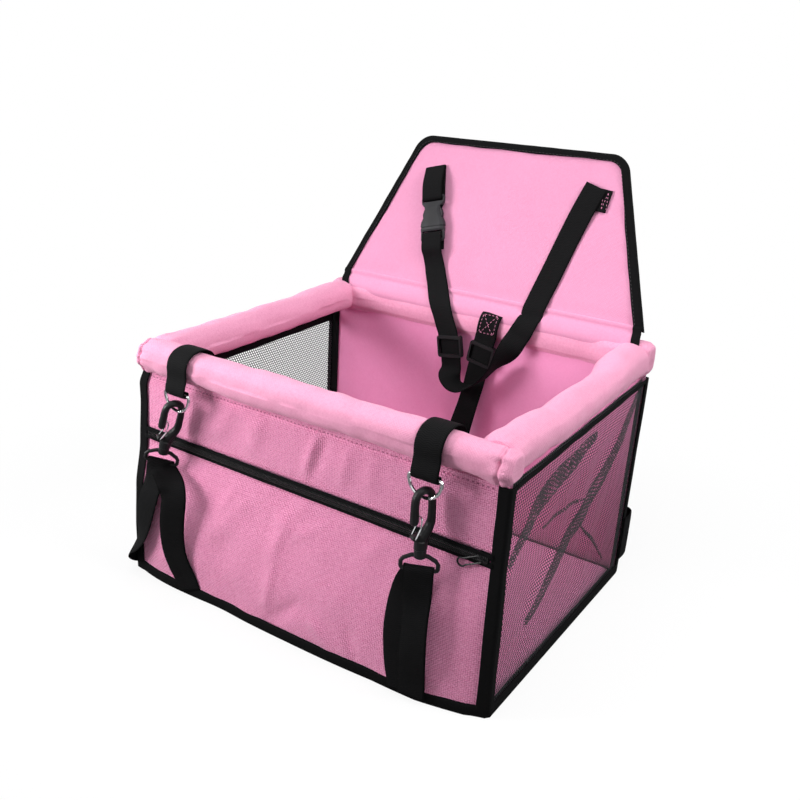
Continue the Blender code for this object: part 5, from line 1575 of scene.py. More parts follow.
@dataclass
class EdgeBindings:
    """Tape over the upright corners and round the bottom edge of the box."""

    leg_front: float = 0.012
    leg_side: float = 0.010
    high: float = 0.011
    radius: float = 0.003
    low: float = 0.006

    def build(self) -> None:
        """Four corners and the bottom."""
        for where, sy in (("front", -1), ("rear", 1)):
            for name, sx in (("left", -1), ("right", 1)):
                self._corner(f"{where}_{name}", sx, sy)
        self._bottom()

    def _corner(self, name: str, sx: int, sy: int) -> None:
        """A tape folded round a corner: front leg, round bend, side leg.

        Args:
            name: The corner's name.
            sx: -1 on the left, 1 on the right.
            sy: -1 in front, 1 at the rear.
        """
        x0, y0, r = BOX.width / 2, BOX.depth / 2, self.radius
        front = joined(np.linspace(x0 - self.leg_front, x0 - r, 7), y0)
        t = np.linspace(math.pi / 2, 0, 8)
        bend = joined(x0 - r + r * np.cos(t), y0 - r + r * np.sin(t))
        rear = joined(x0, np.linspace(y0 - r, y0 - self.leg_side, 6))
        section = evenly(np.vstack([front, bend[1:-1], rear]), 26)
        run = run_length(section)
        edge = np.minimum(run, run[-1] - run)
        tuck = 0.0010 * (1 - smooth_step(edge / 0.0014))
        inward = unit(joined(x0 - 0.006 - section[:, 0], y0 - 0.006 - section[:, 1]))
        top = BOX.rim_z(sy * y0) - (0.0165 if sy < 0 else 0.0172)
        zs = np.linspace(self.low, top, 90)
        wave = ripple(zs, 0, 80 + 3 * sx + sy, 0.035, 0.00035)
        flat = section + tuck[:, None] * inward + wave[:, None, None] * inward * 0.6
        points = joined(sx * flat[..., 0], sy * flat[..., 1], zs[:, None])
        uv = joined(run[None], zs[:, None])
        names = f"corner_tape_{name}", f"corner_binding_{name}"
        outward = np.array([sx, sy, 0.0])
        sew(*names, SLUMP.move(points), uv, outward, TAPE, 0.0012, slot=Slot.WEBBING)

    def footprint(self, inset: float, count: int = 260) -> Points:
        """The closed outline of the bottom with a bowed front, evenly spaced.

        Args:
            inset: How far inside the box's edge it runs.
            count: How many points there are.

        Returns:
            Rows of x and y.
        """
        hx, hy = BOX.width / 2 - inset, BOX.depth / 2 - inset
        r = max(self.radius - inset, 0.0004)
        x = np.linspace(-0.1877, 0.1877, 80)
        front = joined(x, -hy - BOX.bow(x))
        corners = []
        for k, (sx, sy) in enumerate(((1, -1), (1, 1), (-1, 1), (-1, -1))):
            a = np.linspace(0, math.pi / 2, 6) + (k - 1) * math.pi / 2
            corners.append(joined(sx * (hx - r) + r * np.cos(a), sy * (hy - r) + r * np.sin(a)))
        loop = np.vstack([front, *corners, front[:1]])
        return evenly(loop, count + 1)[:-1]

    def _bottom(self) -> None:
        """A tape folded under the bottom edge, all the way round."""
        legs = ((0.0095, 0.0002), (0.0050, 0.0), (0.0012, 0.0), (0.0003, 0.0003), (0.0, 0.0012))
        legs += ((-0.0002, 0.0040), (-0.0002, 0.0080), (0.0002, 0.0104), (0.0012, 0.0112))
        loops = np.stack([self.footprint(max(inset, 0.0)) for inset, _ in legs])
        heights = np.array([z for _, z in legs])
        centre = unit(loops[0])
        run = np.concatenate([run_length(loops[4]), [0]])
        run[-1] = run[-2] + np.linalg.norm(loops[4][0] - loops[4][-1])
        wave = ripple(np.linspace(0, 1.4, loops.shape[1]), 0, 90, 0.05, 0.0005)
        lift = np.clip(heights / self.high, 0, 1)[:, None] * wave[None]
        points = joined(loops[..., 0], loops[..., 1], heights[:, None])
        points[..., :2] += lift[..., None] * centre
        points[..., 2] += np.clip(heights / self.high - 0.5, 0, 1)[:, None] * wave * 1.2
        across = run_length(np.array(legs))
        uv = joined(across[:, None], run[None])
        outward = joined(centre[:, 0], centre[:, 1], 0)
        made = ("bottom_tape", "bottom_binding", SLUMP.move(points), uv, outward, TAPE, 0.0010)
        sew(*made, slot=Slot.WEBBING, wrap=True)


@dataclass
class Inside:
    """The rear wall's cloth and the floor mat."""

    def build(self) -> None:
        """Makes both pieces."""
        self._rear()
        self._mat()

    def _rear(self) -> None:
        """The rear wall, from the floor to the rear sleeve."""
        x, z = np.meshgrid(np.linspace(-0.1966, 0.1966, 120), np.linspace(0.0018, 0.2300, 70))
        middle = np.clip(1 - (x / 0.19) ** 4, 0, 1)
        wave = ripple(x, z, 12, 0.06, 0.0007) * middle
        for which, y, out, finish in (("inner", 0.1462, -1, PINK_IN), ("outer", 0.1480, 1, PINK)):
            name, points = f"rear_wall_{which}_cloth", joined(x, y + wave, z)
            piece = sew(name, "rear_wall", points, joined(x, z), out * Y, finish, 0.0007)

    def _mat(self) -> None:
        """A thin padded mat on the board, crowned in its middle."""
        x, t = np.meshgrid(np.linspace(-1, 1, 90), np.linspace(-1, 1, 70))
        wide = 0.1915
        xx = x * wide
        front = -0.1395 - BOX.bow(xx) * 0.93
        yy = front + (t + 1) / 2 * (0.1400 - front)
        edge = np.clip(np.minimum(1 - np.abs(x), 1 - np.abs(t)) * 14, 0, 1)
        zz = 0.0034 + 0.0048 * np.sqrt(edge * (2 - edge)) + ripple(xx, yy, 13, 0.06, 0.0004) * edge
        points = SLUMP.move(joined(xx, yy, zz))
        piece = sew("floor_mat_cloth", "floor_mat", points, joined(xx, yy), Z, PINK_IN, 0.0010)


# The padded rim and the backrest


@dataclass(frozen=True)
class RollAxis:
    """The middle line of a padded roll, and how its cloth lies round it.

    It runs along axis 0 or 1, keeps its place beside that on the other one,
    and has a height at each place; arc turns angles into metres of cloth.
    """

    along: int
    beside: float
    height: Callable[[Points], Points]
    arc: float = 0.0175

    def around(self, p: Points, flip: int = 1) -> Points:
        """The angle of each point round the axis; a flip mirrors it."""
        beside = (p[..., 1 - self.along] - self.beside) * flip
        return np.arctan2(p[..., 2] - self.height(p[..., self.along]), beside)

    def out(self, p: Points) -> Points:
        """The direction away from the axis at each point.

        Args:
            p: Points, x, y and z last.

        Returns:
            Directions of length 1.
        """
        away = np.zeros(p.shape)
        away[..., 1 - self.along] = p[..., 1 - self.along] - self.beside
        away[..., 2] = p[..., 2] - self.height(p[..., self.along])
        return unit(away)

    def down(self, around: Points, seam: float) -> Points:
        """Distance round the roll from a seam at an angle."""
        return np.abs(np.angle(np.exp(1j * (around - seam)))) * self.arc

    def lay(self, p: Points) -> Points:
        """Metres along the roll and round it; one face never spans the join.

        Args:
            p: Points, x, y and z last.

        Returns:
            Metres along and round, one row to a point.
        """
        around = self.around(p)
        first = around[:, :1]
        around = np.where(around < first - math.pi, around + 2 * math.pi, around)
        around = np.where(around > first + math.pi, around - 2 * math.pi, around)
        return joined(p[..., self.along], around * self.arc)


@dataclass
class PaddedRim:
    """Foam-filled sleeves of pink cloth round the top of the box."""

    stuffing: Stuffing = field(default_factory=lambda: Stuffing(0.0046, 3.5, 20, 0.0016))
    turns: int = 72

    def build(self) -> None:
        """Makes the front roll, both side rolls and the rear sleeve."""
        self._front()
        for name, side in (("left", -1), ("right", 1)):
            self._side(name, side)
        self._rear()

    @staticmethod
    def _shell(name: str, stations: Points, sections: Points, cap: float) -> bpy.types.Mesh:
        """A closed sleeve: the section at each station, drawn in at both ends.

        Args:
            name: The mesh's name.
            stations: Centre points along the sleeve, rows of 3.
            sections: The section's points at each station, rows by turns by 3.
            cap: How far in from an end its rounding starts.
        """
        run = run_length(stations)
        edge = np.clip(np.minimum(run, run[-1] - run) / cap, 0, 1)
        size = 0.80 + 0.20 * np.sqrt(np.clip(1 - (1 - edge) ** 2, 0, 1))
        rings = stations[:, None] + size[:, None, None] * sections
        ends = [np.broadcast_to(stations[k], rings[0].shape) for k in (0, -1)]
        near = [0.5 * rings[k] + 0.5 * ends[k] for k in (0, -1)]
        points = np.concatenate([ends[0][None], near[0][None], rings, near[1][None], ends[1][None]])
        uv = np.zeros((points.shape[0], points.shape[1] + 1, 2))
        centre = np.pad(stations, ((2, 2), (0, 0)), "edge")
        mesh = grid_mesh(name, points, uv, True, points - centre[:, None] + 1e-9)
        close_up(mesh)
        recalculate(mesh)
        return mesh

    def _finish(
        self, mesh: bpy.types.Mesh, node: str, axis: RollAxis, held: Callable, shape: Callable
    ) -> None:
        """Swells a sleeve, then lays its fine folds and its UV map.

        Args:
            mesh: The piece's mesh.
            node: The CAD node that it stands for.
            axis: The sleeve's middle line.
            held: Gives 1 where seams hold a point and 0 where it is free.
            shape: Moves the points into folds and puckers.
        """
        name = mesh.name
        piece = add_piece(name, mesh, PINK_PAD, "carrier")
        self.stuffing.swell(piece, held)
        subdivide(piece, 2)
        self.stuffing.bake(piece)
        write_points(piece.data, shape(read_points(piece.data)))
        lay_uv(piece.data, axis.lay)
        piece.data.materials.clear()
        piece.data.materials.append(finish_of(PINK_PAD))
        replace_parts(piece, node)
        LOG.info("padded %s with %d faces", name, len(piece.data.polygons))

    def _front(self) -> None:
        """The front roll: sewn along its bottom, gathered at both ends."""
        left, right, y0 = -0.1965, 0.2025, BOX.front_roll_y
        z0 = BOX.rim_z(y0)
        axis = RollAxis(0, y0, lambda x: z0)
        x = np.linspace(left, right, 90)
        slim = np.interp(x, (left, 0.0, 0.12, right), (0.93, 0.91, 0.88, 0.82))
        stations = joined(x, y0, z0)
        angle = circle(self.turns)
        ring = superellipse(BOX.roll_width / 2, BOX.roll_height / 2, BOX.roll_power, angle)
        flat = joined(0, ring[:, 0], ring[:, 1])
        mesh = self._shell("front_roll_cloth", stations, slim[:, None, None] * flat, 0.010)

        def held(p: Points) -> Points:
            """1 along the bottom seam, at the ends and under the webbing.

            Args:
                p: Points, x, y and z last.

            Returns:
                The hold of each point.
            """
            seam = np.exp(-(((p[:, 1] - y0) / 0.006) ** 2)) * (p[:, 2] < z0)
            end = smooth_step((np.abs(p[:, 0]) - 0.187) / 0.004)
            loops = np.exp(-(((np.abs(p[:, 0]) - BOX.loop_x) / 0.012) ** 4))
            return np.clip(np.maximum.reduce([seam, end, loops]), 0, 1)

        def shape(p: Points) -> Points:
            """Puckers at the seam, gathers at the end seams, dents under the loops.

            Args:
                p: Points, x, y and z last.

            Returns:
                The moved points.
            """
            around = axis.around(p)
            arc, down = around * axis.arc, axis.down(around, -math.pi / 2)
            puckers = 0.00055 * np.exp(-down / 0.008) * ripple(p[:, 0], 0, 31, 0.008, 1.0)
            from_seam = np.where(p[:, 0] > 0, 0.1915, 0.1890) - np.abs(p[:, 0])
            gathers = ripple(arc, 0, 32, 0.007, 0.0015) * np.exp(-np.abs(from_seam) / 0.006)
            groove = -0.0026 * np.exp(-((from_seam / 0.0013) ** 2))
            waves = ripple(p[:, 0], arc, 33, 0.020, 0.00045)
            waves = waves + ripple(p[:, 0], arc, 34, 0.055, 0.0007)
            loops = np.exp(-(((np.abs(p[:, 0]) - BOX.loop_x) / 0.0128) ** 6))
            rise = (puckers + gathers + groove + waves) * (1 - 0.85 * loops) - 0.0005 * loops
            return p + rise[:, None] * axis.out(p)

        self._finish(mesh, "front_roll", axis, held, shape)

    def _side(self, name: str, side: int) -> None:
        """A side roll between the front roll and the rear sleeve.

        Args:
            name: The side's name.
            side: -1 on the left, 1 on the right.
        """
        x0 = side * BOX.side_roll_x
        axis = RollAxis(1, x0, BOX.rim_z)
        y = np.linspace(-0.1440, 0.1500, 70)
        lean = smooth_step((y + 0.086) / 0.04) * smooth_step((0.096 - y) / 0.04) * (side > 0)
        stations = joined(x0 + 0.0028 * lean, y, BOX.rim_z(y) - 0.0026 * lean)
        slim = 1 - 0.14 * lean
        angle = circle(self.turns)
        ring = superellipse(BOX.roll_width / 2, BOX.roll_height / 2, BOX.roll_power, angle)
        low = (ring[:, 0] * side > 0) & (ring[:, 1] < 0)
        firm = superellipse(BOX.roll_width / 2, BOX.roll_height / 2, 5.0, angle)
        ring = np.where(low[:, None], 0.5 * ring + 0.5 * firm, ring)
        flat = joined(ring[:, 0], 0, ring[:, 1])
        mesh = self._shell(f"{name}_roll_cloth", stations, slim[:, None, None] * flat, 0.006)

        def held(p: Points) -> Points:
            """1 along the lower outer seam and at both ends.

            Args:
                p: Points, x, y and z last.

            Returns:
                The hold of each point.
            """
            z0 = BOX.rim_z(p[:, 1])
            outer = (p[:, 0] - x0) * side > 0.010
            seam = np.exp(-(((p[:, 2] - z0 + 0.014) / 0.004) ** 2)) * outer
            end = smooth_step((-0.122 - p[:, 1]) / 0.006) + smooth_step((p[:, 1] - 0.136) / 0.006)
            return np.clip(seam + end, 0, 1)

        def shape(p: Points) -> Points:
            """Soft waves, puckers above the seam, and gathers where the rolls meet.

            Args:
                p: Points, x, y and z last.

            Returns:
                The moved points.
            """
            around = axis.around(p, side)
            arc, down = around * axis.arc, axis.down(around, -0.85)
            puckers = 0.00050 * np.exp(-down / 0.008) * ripple(p[:, 1], 0, 41 + side, 0.008, 1.0)
            front = np.exp(-np.abs(p[:, 1] + 0.129) / 0.010)
            gathers = ripple(arc, 0, 44 + side, 0.006, 0.0009) * front
            waves = ripple(p[:, 1], arc, 47 + side, 0.022, 0.0005)
            rise = puckers + gathers + (waves + ripple(p[:, 1], arc, 49 + side, 0.06, 0.0007))
            return p + rise[:, None] * axis.out(p)

        self._finish(mesh, f"{name}_roll", axis, held, shape)

    def _rear(self) -> None:
        """The sleeve along the rear edge, flat in front between its two seams."""
        half, y0, z0 = 0.1990, BOX.channel_y, BOX.channel_z
        axis = RollAxis(0, y0, lambda x: z0, 0.016)
        x = np.linspace(-half, half, 90)
        stations = joined(x, y0, z0)
        angle = circle(self.turns)
        spots = [(-6, 17), (-10.6, 12), (-11.9, 4), (-11.9, -6), (-10, -12), (-6, -15.6)]
        spots += [(1, -17), (9, -14), (13.6, -6), (13.8, 4), (10, 13), (2, 17.2)]
        spots = np.array([(0.0, *row) for row in spots + spots[:3]]) / 1000
        ring = evenly(smooth_through(spots, 12)[24:], self.turns + 1)[:-1]
        size = np.linalg.norm(ring, axis=1)
        size = size[np.argsort(np.arctan2(ring[:, 2], ring[:, 1]))]
        turn = np.sort(np.arctan2(ring[:, 2], ring[:, 1]))
        size = np.interp(np.angle(np.exp(1j * angle)), turn, size, period=2 * math.pi)
        flat = joined(0, size * np.cos(angle), size * np.sin(angle))
        ring = superellipse(BOX.channel_depth / 2, BOX.channel_height / 2, 3.0, angle)
        full = joined(0, ring[:, 0], ring[:, 1])
        near = smooth_step((np.abs(x) - 0.132) / 0.022)
        rings = flat + near[:, None, None] * (full - flat)
        mesh = self._shell("rear_sleeve_cloth", stations, rings, 0.004)

        def held(p: Points) -> Points:
            """1 along the upper and the lower seam and at the ends.

            Args:
                p: Points, x, y and z last.

            Returns:
                The hold of each point.
            """
            seam = np.exp(-(((np.abs(p[:, 2] - z0) - 0.0165) / 0.0045) ** 2))
            end = smooth_step((np.abs(p[:, 0]) - 0.190) / 0.005)
            return np.clip(np.maximum(seam, end), 0, 1)

        def shape(p: Points) -> Points:
            """Waves, and pinches along both seams.

            Args:
                p: Points, x, y and z last.

            Returns:
                The moved points.
            """
            arc = axis.around(p) * axis.arc
            near = np.exp(-np.abs(np.abs(p[:, 2] - z0) - 0.0150) / 0.004)
            pinch = 0.0002 * near * ripple(p[:, 0], 0, 51, 0.008, 1.0)
            waves = ripple(p[:, 0], arc, 52, 0.03, 0.0003)
            groove = 0.0012 * np.exp(-(((p[:, 2] - z0 + 0.0128) / 0.0012) ** 2)) * (p[:, 1] < y0)
            return p + (pinch + waves - groove)[:, None] * axis.out(p)

        self._finish(mesh, "rear_channel", axis, held, shape)


@dataclass
class Backrest:
    """The stiff back: cloth over a board, with a bound edge."""

    reach: float = 0.009
    front: float = 0.0033
    rear: float = 0.0027
    foot: float = 0.0028
    tape: float = 0.0012
    fold_start: tuple[float, float, float] = (0.0, 0.1402, 0.2505)

    def build(self) -> None:
        """Makes the two cloths, the tape round the edge and its stitches."""
        self._cloth("backrest_front_cloth", -1, PINK_BACK, "backrest_pad")
        self._cloth("backrest_back_cloth", 1, PINK, "backrest_rear_cloth")
        self._binding()
        self._hinge_cloth()

    @property
    def height(self) -> float:
        """Length of the backrest along its slope."""
        return (BOX.back_height - BOX.fold_z - 0.0042 * math.sin(BOX.lean)) / math.cos(BOX.lean)

    def outline(self, inset: float, count: int = 220) -> Points:
        """Right foot, round the top, left foot: across and up, evenly spaced.

        Args:
            inset: How far inside the edge it runs.
            count: How many points there are.

        Returns:
            Rows of places across and up.
        """
        run = BOX.back_bottom - BOX.back_top
        slope = math.atan2(run, self.height)
        bottom = BOX.back_bottom - inset / math.cos(slope)
        top = self.height - inset
        r = max(BOX.back_corner - inset, 0.002)
        edge = bottom - math.tan(slope) * (top - r) - r / math.cos(slope)
        a = np.linspace(slope, math.pi / 2, 14)
        arc = joined(edge + r * np.cos(a), top - r + r * np.sin(a))
        side = np.array([[bottom - math.tan(slope) * self.foot, self.foot]])
        half = np.vstack([side, arc])
        return evenly(np.vstack([half, (half * (-1, 1))[::-1]]), count)

    def _cloth(self, name: str, out: int, finish: object, node: str) -> None:
        """A cloth face: crowned in its middle and drawn in at the tape.

        Args:
            name: The piece's name.
            out: -1 for the front face, 1 for the back.
            finish: What it is made of.
            node: The CAD node that it stands for.
        """
        rows = np.linspace(0, 1, 90)
        outline = self.outline(0.0013, 400)
        heights = self.foot + rows * (self.height - 0.0016 - self.foot)
        right = outline[: len(outline) // 2]
        order = np.argsort(right[:, 1])
        reach = np.interp(heights, right[order, 1], right[order, 0])
        t = np.linspace(-1, 1, 150)
        x = reach[:, None] * t[None]
        up = np.broadcast_to(heights[:, None], x.shape)
        edge = np.minimum(reach[:, None] * (1 - np.abs(t[None])), self.height - up)
        crown = 0.0005 * smooth_step((edge - 0.006) / 0.030)
        sheet = ripple(x, up, 71 + out, 0.05, 0.00022) * smooth_step(edge / 0.02)
        pull = ripple(x, up, 75 + out, 0.012, 0.00035) * np.exp(-np.abs(edge - 0.010) / 0.008)
        fold = 0.0010 * np.exp(-((up - 0.010) / 0.006) ** 2)
        level = (self.front if out < 0 else self.rear) - 0.0006 + crown + sheet + pull - 0.5 * fold
        points = BOX.on_backrest(joined(x, out * level, up))
        lean = BOX.turned(out * Y)
        piece = sew(name, node, points, joined(x, up), lean, finish, 0.0011, "backrest")

    def _binding(self) -> None:
        """A tape folded over the edge, a little uneven, with a row of stitches."""
        count = 240
        outer, inner = self.outline(0.0, count), self.outline(self.reach, count)
        inward = unit(inner - outer)
        f, b = self.front + self.tape, self.rear + self.tape
        leg = self.reach
        section = [(leg, -f + 0.0010), (leg - 0.0008, -f - 0.0002), (0.006, -f - 0.0002)]
        section += [(0.003, -f - 0.0002), (0.0010, -f + 0.0004), (0.0001, -f + 0.0018), (0.0, 0.0)]
        section += [(0.0001, b - 0.0016), (0.0010, b - 0.0004), (0.003, b), (0.006, b)]
        section = np.array([*section, (leg - 0.0008, b), (leg, b - 0.0010)])
        run = run_length(outer)
        wave = ripple(run, 0, 81, 0.03, 0.0005)
        puff = ripple(run, 0, 82, 0.016, 0.00022)
        depth = section[:, 0][None] * (1 + 0.06 * wave[:, None] / 0.0005 * (section[:, 0] > 0.005))
        flat = outer[:, None] + depth[..., None] * inward[:, None]
        out = section[:, 1][None] + puff[:, None] * np.sign(section[:, 1])[None]
        local = joined(flat[..., 0], out, flat[..., 1])
        across = run_length(section)
        uv = joined(across[None], run[:, None])
        middle = BOX.on_backrest(joined(flat.mean(1)[:, 0], 0 * run, flat.mean(1)[:, 1]))
        points = BOX.on_backrest(local)
        names, outward = ("backrest_tape", "backrest_binding"), points - middle[:, None]
        sew(*names, points, uv, outward, TAPE, 0.0010, "backrest", Slot.WEBBING)
        line = self.outline(self.reach - 0.0016, 300)
        local = joined(line[:, 0], -f - 0.0003, line[:, 1])
        row = Stitching("backrest_tape_stitches", "backrest", BLACK_THREAD)
        row.build(BOX.on_backrest(local), BOX.turned(-Y))

    def _hinge_cloth(self) -> None:
        """The cloth of the fold, from the sleeve's front up to the backrest's foot."""
        x = np.linspace(-1, 1, 150)
        foot = [(-0.0036, 0.0015), (-0.0044, 0.0042), (-0.0042, 0.0062), (-0.0010, 0.0076)]
        spots = [(0.1420, 0.2430), (0.1402, 0.2505), (0.1416, 0.2570), (0.1446, 0.2620)]
        foot = BOX.on_backrest(np.array([(0.0, *row) for row in foot]))
        rows = np.vstack([[(0.0, *row) for row in spots], foot])
        path = smooth_through(rows, 6)[:, 1:]
        levels = (0.244, 0.252, 0.262, 0.272)
        reach = {
            "left": (-0.1680, -0.1740, -0.1788, -0.1793),
            "right": (0.1850, 0.1835, 0.1815, 0.1795),
        }
        wave = ripple(x, 0, 85, 0.12, 0.00012)
        xx, k = np.meshgrid(x, np.arange(len(path)))
        ends = {tag: np.interp(path[:, 1], levels, edge) for tag, edge in reach.items()}
        xx = ends["left"][k] * (1 - xx) / 2 + ends["right"][k] * (1 + xx) / 2
        y = path[k, 0] + wave[None]
        z = path[k, 1]
        run = run_length(path)
        made = ("fold_cloth", "", joined(xx, y, z), joined(xx, run[k]), -Y, PINK_BACK, 0.0007)
        self._cross_fold(sew(*made, slot=Slot.PINK_PADDING))
        for tag, side in (("left", -1), ("right", 1)):
            rows = joined(ends[tag], path[:, 0] - 0.0012, path[:, 1])
            rows = np.vstack([rows[0] + (0.004 * (side < 0), 0.0, -0.012), rows])
            tape = Ribbon(f"fold_edge_tape_{tag}", finish=TAPE, width=self.reach)
            self._cross_fold(tape.build(rows, X))

    def _cross_fold(self, piece: bpy.types.Object) -> None:
        """Cloth that crosses the fold comes off its body and stays where it lies at rest.

        Args:
            piece: The cloth or tape, in its place at rest.
        """
        piece.parent = None
        end = BOX.on_backrest(np.array([0, -0.003, 0.0085]))
        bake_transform(piece)


# Webbing


@dataclass
class Harness:
    """All straps: loops on the front roll, front straps, headrest strap, tether, band."""

    bend_top: tuple[float, float, float] = (0.0, 0.150, 0.272)
    bend_foot: tuple[float, float, float] = (0.0, 0.136, 0.232)
    wide: float = 0.050

    def build(self) -> None:
        """Sweeps each strap along its line."""
        lines = (
            ("left_strap", LEFT_STRAP, "carrier"),
            ("right_strap", RIGHT_STRAP, "carrier"),
            ("socket_strap", SOCKET_STRAP, "backrest"),
            ("headrest_strap", HEADREST_STRAP, None),
            ("tether_strap", TETHER_STRAP, "carrier"),
        )
        for name, table, body in lines:
            rows = self._rows(table)
            if name == "right_strap":
                rows[:, :3] = SLUMP.strap(rows[:, :3])
            strap = Ribbon(f"{name}_webbing", body or "backrest").build(rows[:, :3], rows[:, 3:])
            if body is None:
                self._bend(strap)
            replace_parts(strap, name)
            LOG.info("webbing %s", name)
        for name, side in (("left", -1), ("right", 1)):
            self._loop(name, side)
        self._band()
        self._sewing()

    @staticmethod
    def _rows(table: Sequence, steps: int = 8) -> Points:
        """A smooth line in metres, with its width's direction, through a table in millimetres.

        Args:
            table: Directions, each with the places that have it.
            steps: Points to each span.

        Returns:
            Rows of places and directions.
        """
        rows = np.array([(*place, *way) for way, *places in table for place in places], float)
        rows[:, :3] /= 1000
        return smooth_through(rows, steps)

    def _bend(self, strap: bpy.types.Object) -> None:
        """The headrest strap comes off its body and stays where it lies at rest."""
        strap.parent = None
        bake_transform(strap)

    def _loop(self, name: str, side: int) -> None:
        """A band over the front roll, round the ring's bar and back up behind itself.

        Args:
            name: The side's name.
            side: -1 on the left, 1 on the right.
        """
        rows = self._rows([((), *((side * BOX.loop_x * 1000, *row) for row in RING_LOOP))])
        loop = Ribbon(f"{name}_loop_webbing").build(rows, X)
        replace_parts(loop, f"{name}_ring_loop")

    def _band(self) -> None:
        """The wide band behind the box."""
        rows = self._rows(REAR_BAND, 10)
        rows[:, 1] = np.minimum(rows[:, 1], 0.1705)
        rows[:, 1] += ripple(rows[:, 0], 0, 95, 0.10, 0.0010) * (np.abs(rows[:, 0]) < 0.17)
        band = Ribbon("rear_band_webbing", finish=WIDE_STRAP, width=self.wide)
        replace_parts(band.build(rows[:, :3], rows[:, 3:]), "rear_band")
        LOG.info("webbing rear band")

    def _sewing(self) -> None:
        """The pale box with a cross on the tether's tab, and the strap's sewn ends."""
        tab = self._rows([TETHER_STRAP[0][:6]], 12)
        out = unit(np.cross(np.gradient(tab[:, :3], axis=0), X))
        out *= np.sign(-out[:, 1:2] + 1e-9)
        lift = tab[:, :3] + out * 0.0008
        low, high = 8, len(tab) - 6
        w = 0.0088
        middle, ways = lift[low:high], out[low:high]
        for k, sign in enumerate((-1, 1)):
            Stitching(f"tether_tab_side_{k}").build(middle + sign * w * X, ways)
        for k, at in enumerate((low, high - 1)):
            line = lift[at] + np.linspace(-w, w, 20)[:, None] * X
            Stitching(f"tether_tab_end_{k}").build(line, out[at])
        share = np.linspace(-w, w, high - low)[:, None]
        for k, sign in enumerate((-1, 1)):
            Stitching(f"tether_tab_cross_{k}").build(middle + sign * share * X, ways)
        LOG.info("tether tab stitches")
        self._anchor()

    def _anchor(self) -> None:
        """The headrest strap's upper end, folded to the side and sewn down."""
        ends = np.array([(0.0917, 0.1915, 0.3857), (0.1176, 0.1906, 0.3832)])
        up = unit(np.array([-0.0026, 0.0082, 0.0226]))
        share = np.linspace(0, 1, 12)[:, None]
        path = ends[0] + share * (ends[1] - ends[0])
        Ribbon("headrest_anchor_tab", "backrest", width=0.0235).build(path, up)
        out = BOX.turned(-Y)
        face = path + out * 0.0008
        across = np.linspace(-0.0095, 0.0095, 16)[:, None] * up
        rows = {"inner": face[8] + across, "outer": face[11] - 0.0016 * X + across}
        share = np.linspace(0, 1, 16)[:, None]
        rows["cross"] = rows["inner"] + (rows["outer"] - rows["inner"]) * share
        for name, line in rows.items():
            row = Stitching(f"headrest_anchor_{name}", "backrest", PINK_THREAD, 0.0022, 0.0034)
            row.build(line, out)


@dataclass
class Hardware:
    """Moulded and metal pieces: they keep their shape and get real finishes."""

    nodes: dict[str, bpy.types.Object]

    def dress(self) -> None:
        """Gives each CAD piece its finish."""
        hooks = ("left", "right", "tether")
        sides = ("front", "rear", "left", "right")
        plan = {
            BLACK_PLASTIC: [
                *(f"{name}_snap_{part}" for part in ("hook", "eye") for name in hooks),
                *("strap_glide", "tether_glide", "zipper_slider", "zipper_pull"),
            ],
            GREY_PLASTIC: ["buckle_socket", "buckle_plug", "buckle_arm_left", "buckle_arm_right"],
            CHROME: ["left_ring", "right_ring", *(f"{name}_snap_gate" for name in hooks)],
            PVC: [
                *(f"{name}_tube" for name in sides),
                *(f"elbow_{end}_{side}" for end in sides[:2] for side in sides[2:]),
            ],
            BOARD: ["base_board", "backrest_board"],
        }
        for spec, names in plan.items():
            for name in names:
                node = self.nodes[name]
                for place in node.material_slots:
                    place.material = finish_of(spec)
                if not node.material_slots:
                    node.data.materials.append(finish_of(spec))
                LOG.info("dressed %s", name)


# The room


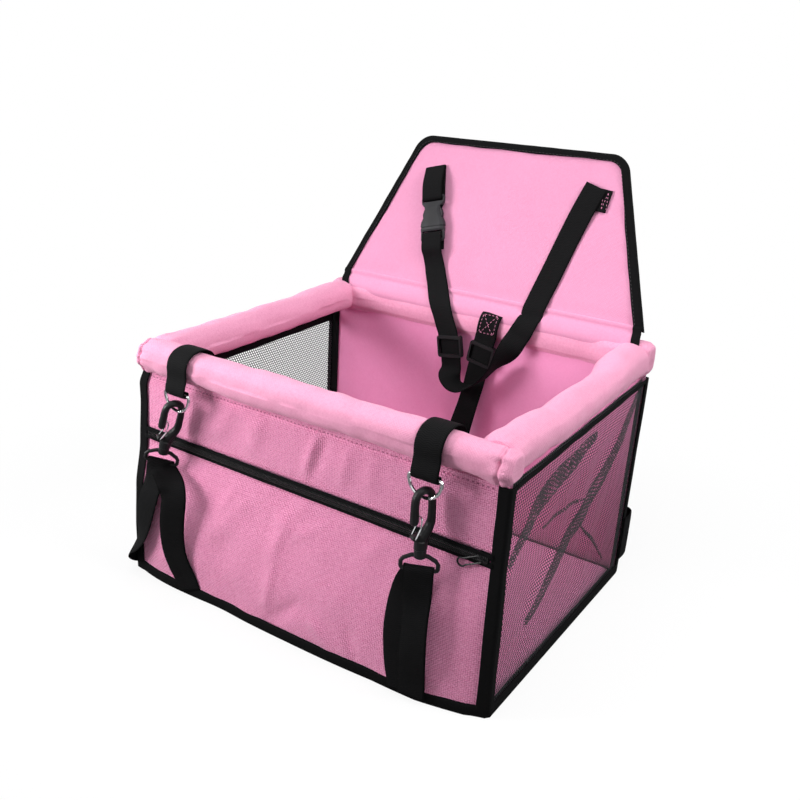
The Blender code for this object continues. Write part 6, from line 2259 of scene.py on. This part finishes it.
@dataclass
class Studio:
    """Camera, soft lights and a plain pale floor."""

    focus: float = 877.0
    picture: int = 800
    floor: float = 6.0
    sensor: float = 36.0
    place: tuple[float, float, float] = (0.4419, -0.6875, 0.4956)
    yaw: float = -32.66
    pitch: float = 20.48
    roll: float = 3.5

    def build(self) -> None:
        """Sets up everything that isn't part of the carrier."""
        self._camera()
        self._floor()
        self._world()
        self._lamp("key", (-0.82, -0.72, 0.50), (-0.21, -0.15, 0.31), 0.50, 2.25, 58)
        self._lamp("side", (0.85, 0.00, 0.95), (0.15, 0.0, 0.22), 0.5, 4.2, 130)
        self._lamp("top", (0.05, -0.22, 1.25), (0.0, 0.05, 0.2), 0.8, 4.6, 160)
        bpy.context.scene.view_settings.view_transform = "Standard"

    def _camera(self) -> None:
        """A pinhole camera from the photograph's viewing angle."""
        data = bpy.data.cameras.new("camera")
        data.sensor_width = self.sensor
        data.lens = self.focus / self.picture * self.sensor
        data.clip_start = 0.05
        y, p, r = (math.radians(a) for a in (self.yaw, self.pitch, self.roll))
        ahead = np.array([math.cos(p) * math.sin(y), math.cos(p) * math.cos(y), -math.sin(p)])
        right = np.array([math.cos(y), -math.sin(y), 0.0])
        up = np.cross(right, ahead)
        across = right * math.cos(r) + up * math.sin(r)
        above = -right * math.sin(r) + up * math.cos(r)
        camera = placed("camera", data)
        turn = Matrix(np.column_stack([across, above, -ahead]).tolist()).to_4x4()
        camera.matrix_world = Matrix.Translation(self.place) @ turn
        bpy.context.scene.camera = camera

    def _floor(self) -> None:
        """A wide white floor that keeps the soft shadow of the carrier."""
        wide, deep = np.meshgrid((-self.floor, self.floor), (-self.floor, self.floor))
        corners = joined(wide, deep, -0.0004)
        mesh = grid_mesh("floor", corners, corners[..., :2], outward=Z)
        floor = placed("floor", mesh)
        matter = bpy.data.materials.new("studio_floor")
        g = Graph(matter)
        seen = g.node("ShaderNodeLightPath", None, None, "Is Camera Ray")
        shade = g.mixed(seen, (0.30, 0.30, 0.30), (0.95, 0.95, 0.95))
        matt = g.node("ShaderNodeBsdfDiffuse", None, {"Color": shade})
        glow = g.node("ShaderNodeEmission", None, {"Color": (1, 1, 1, 1), "Strength": 1.0})
        wide, deep = g.pair(g.place())
        far = ((wide * wide + deep * deep) ** 0.5).between(0.26, 0.62)
        shaders = {0: seen * (0.86 + 0.14 * far), 1: matt, 2: glow}
        both = g.node("ShaderNodeMixShader", None, shaders)
        g.show(both, "ShaderNodeOutputMaterial")
        mesh.materials.append(matter)

    def _world(self) -> None:
        """Plain light from all round, and a white background."""
        world = bpy.data.worlds.new("studio")
        bpy.context.scene.world = world
        g = Graph(world)
        seen = g.node("ShaderNodeLightPath", None, None, "Is Camera Ray")
        glossy = Value(g, seen.socket.node.outputs["Is Glossy Ray"])
        most = g.node("ShaderNodeMath", {"operation": "MAXIMUM"}, [seen, glossy])
        lit = {"Color": (0.97, 0.98, 1.0, 1.0), "Strength": 0.36}
        white = {"Color": (1, 1, 1, 1), "Strength": 1.0}
        shades = [g.node("ShaderNodeBackground", None, inputs) for inputs in (lit, white)]
        g.show(g.node("ShaderNodeMixShader", None, [most, *shades]), "ShaderNodeOutputWorld")

    def _lamp(
        self, name: str, place: tuple, target: tuple, size: float, power: float, beam: float
    ) -> None:
        """A square soft light that looks at a point, with its beam's angle in degrees.

        Args:
            name: The lamp's name.
            place: Where the lamp is.
            target: Where it looks.
            size: The side of its square.
            power: Its power in watts.
            beam: The angle of its beam in degrees.
        """
        data = bpy.data.lights.new(name, "AREA")
        data.size = size
        data.energy = power
        data.spread = math.radians(beam)
        lamp = placed(name, data)
        look = Vector(target) - Vector(place)
        turn = look.to_track_quat("-Z", "Y").to_matrix().to_4x4()
        lamp.matrix_world = Matrix.Translation(place) @ turn


def main() -> None:
    """Builds the scene class by class and reports each piece."""
    logging.basicConfig(level=logging.INFO, format="%(name)s: %(message)s")
    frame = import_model()
    FrontPocket().build()
    Zipper().build()
    NetSides().build()
    EdgeBindings().build()
    Inside().build()
    PaddedRim().build()
    Backrest().build()
    Harness().build()
    Hardware(frame["nodes"]).dress()
    Studio().build()


if __name__ == "__main__":
    main()
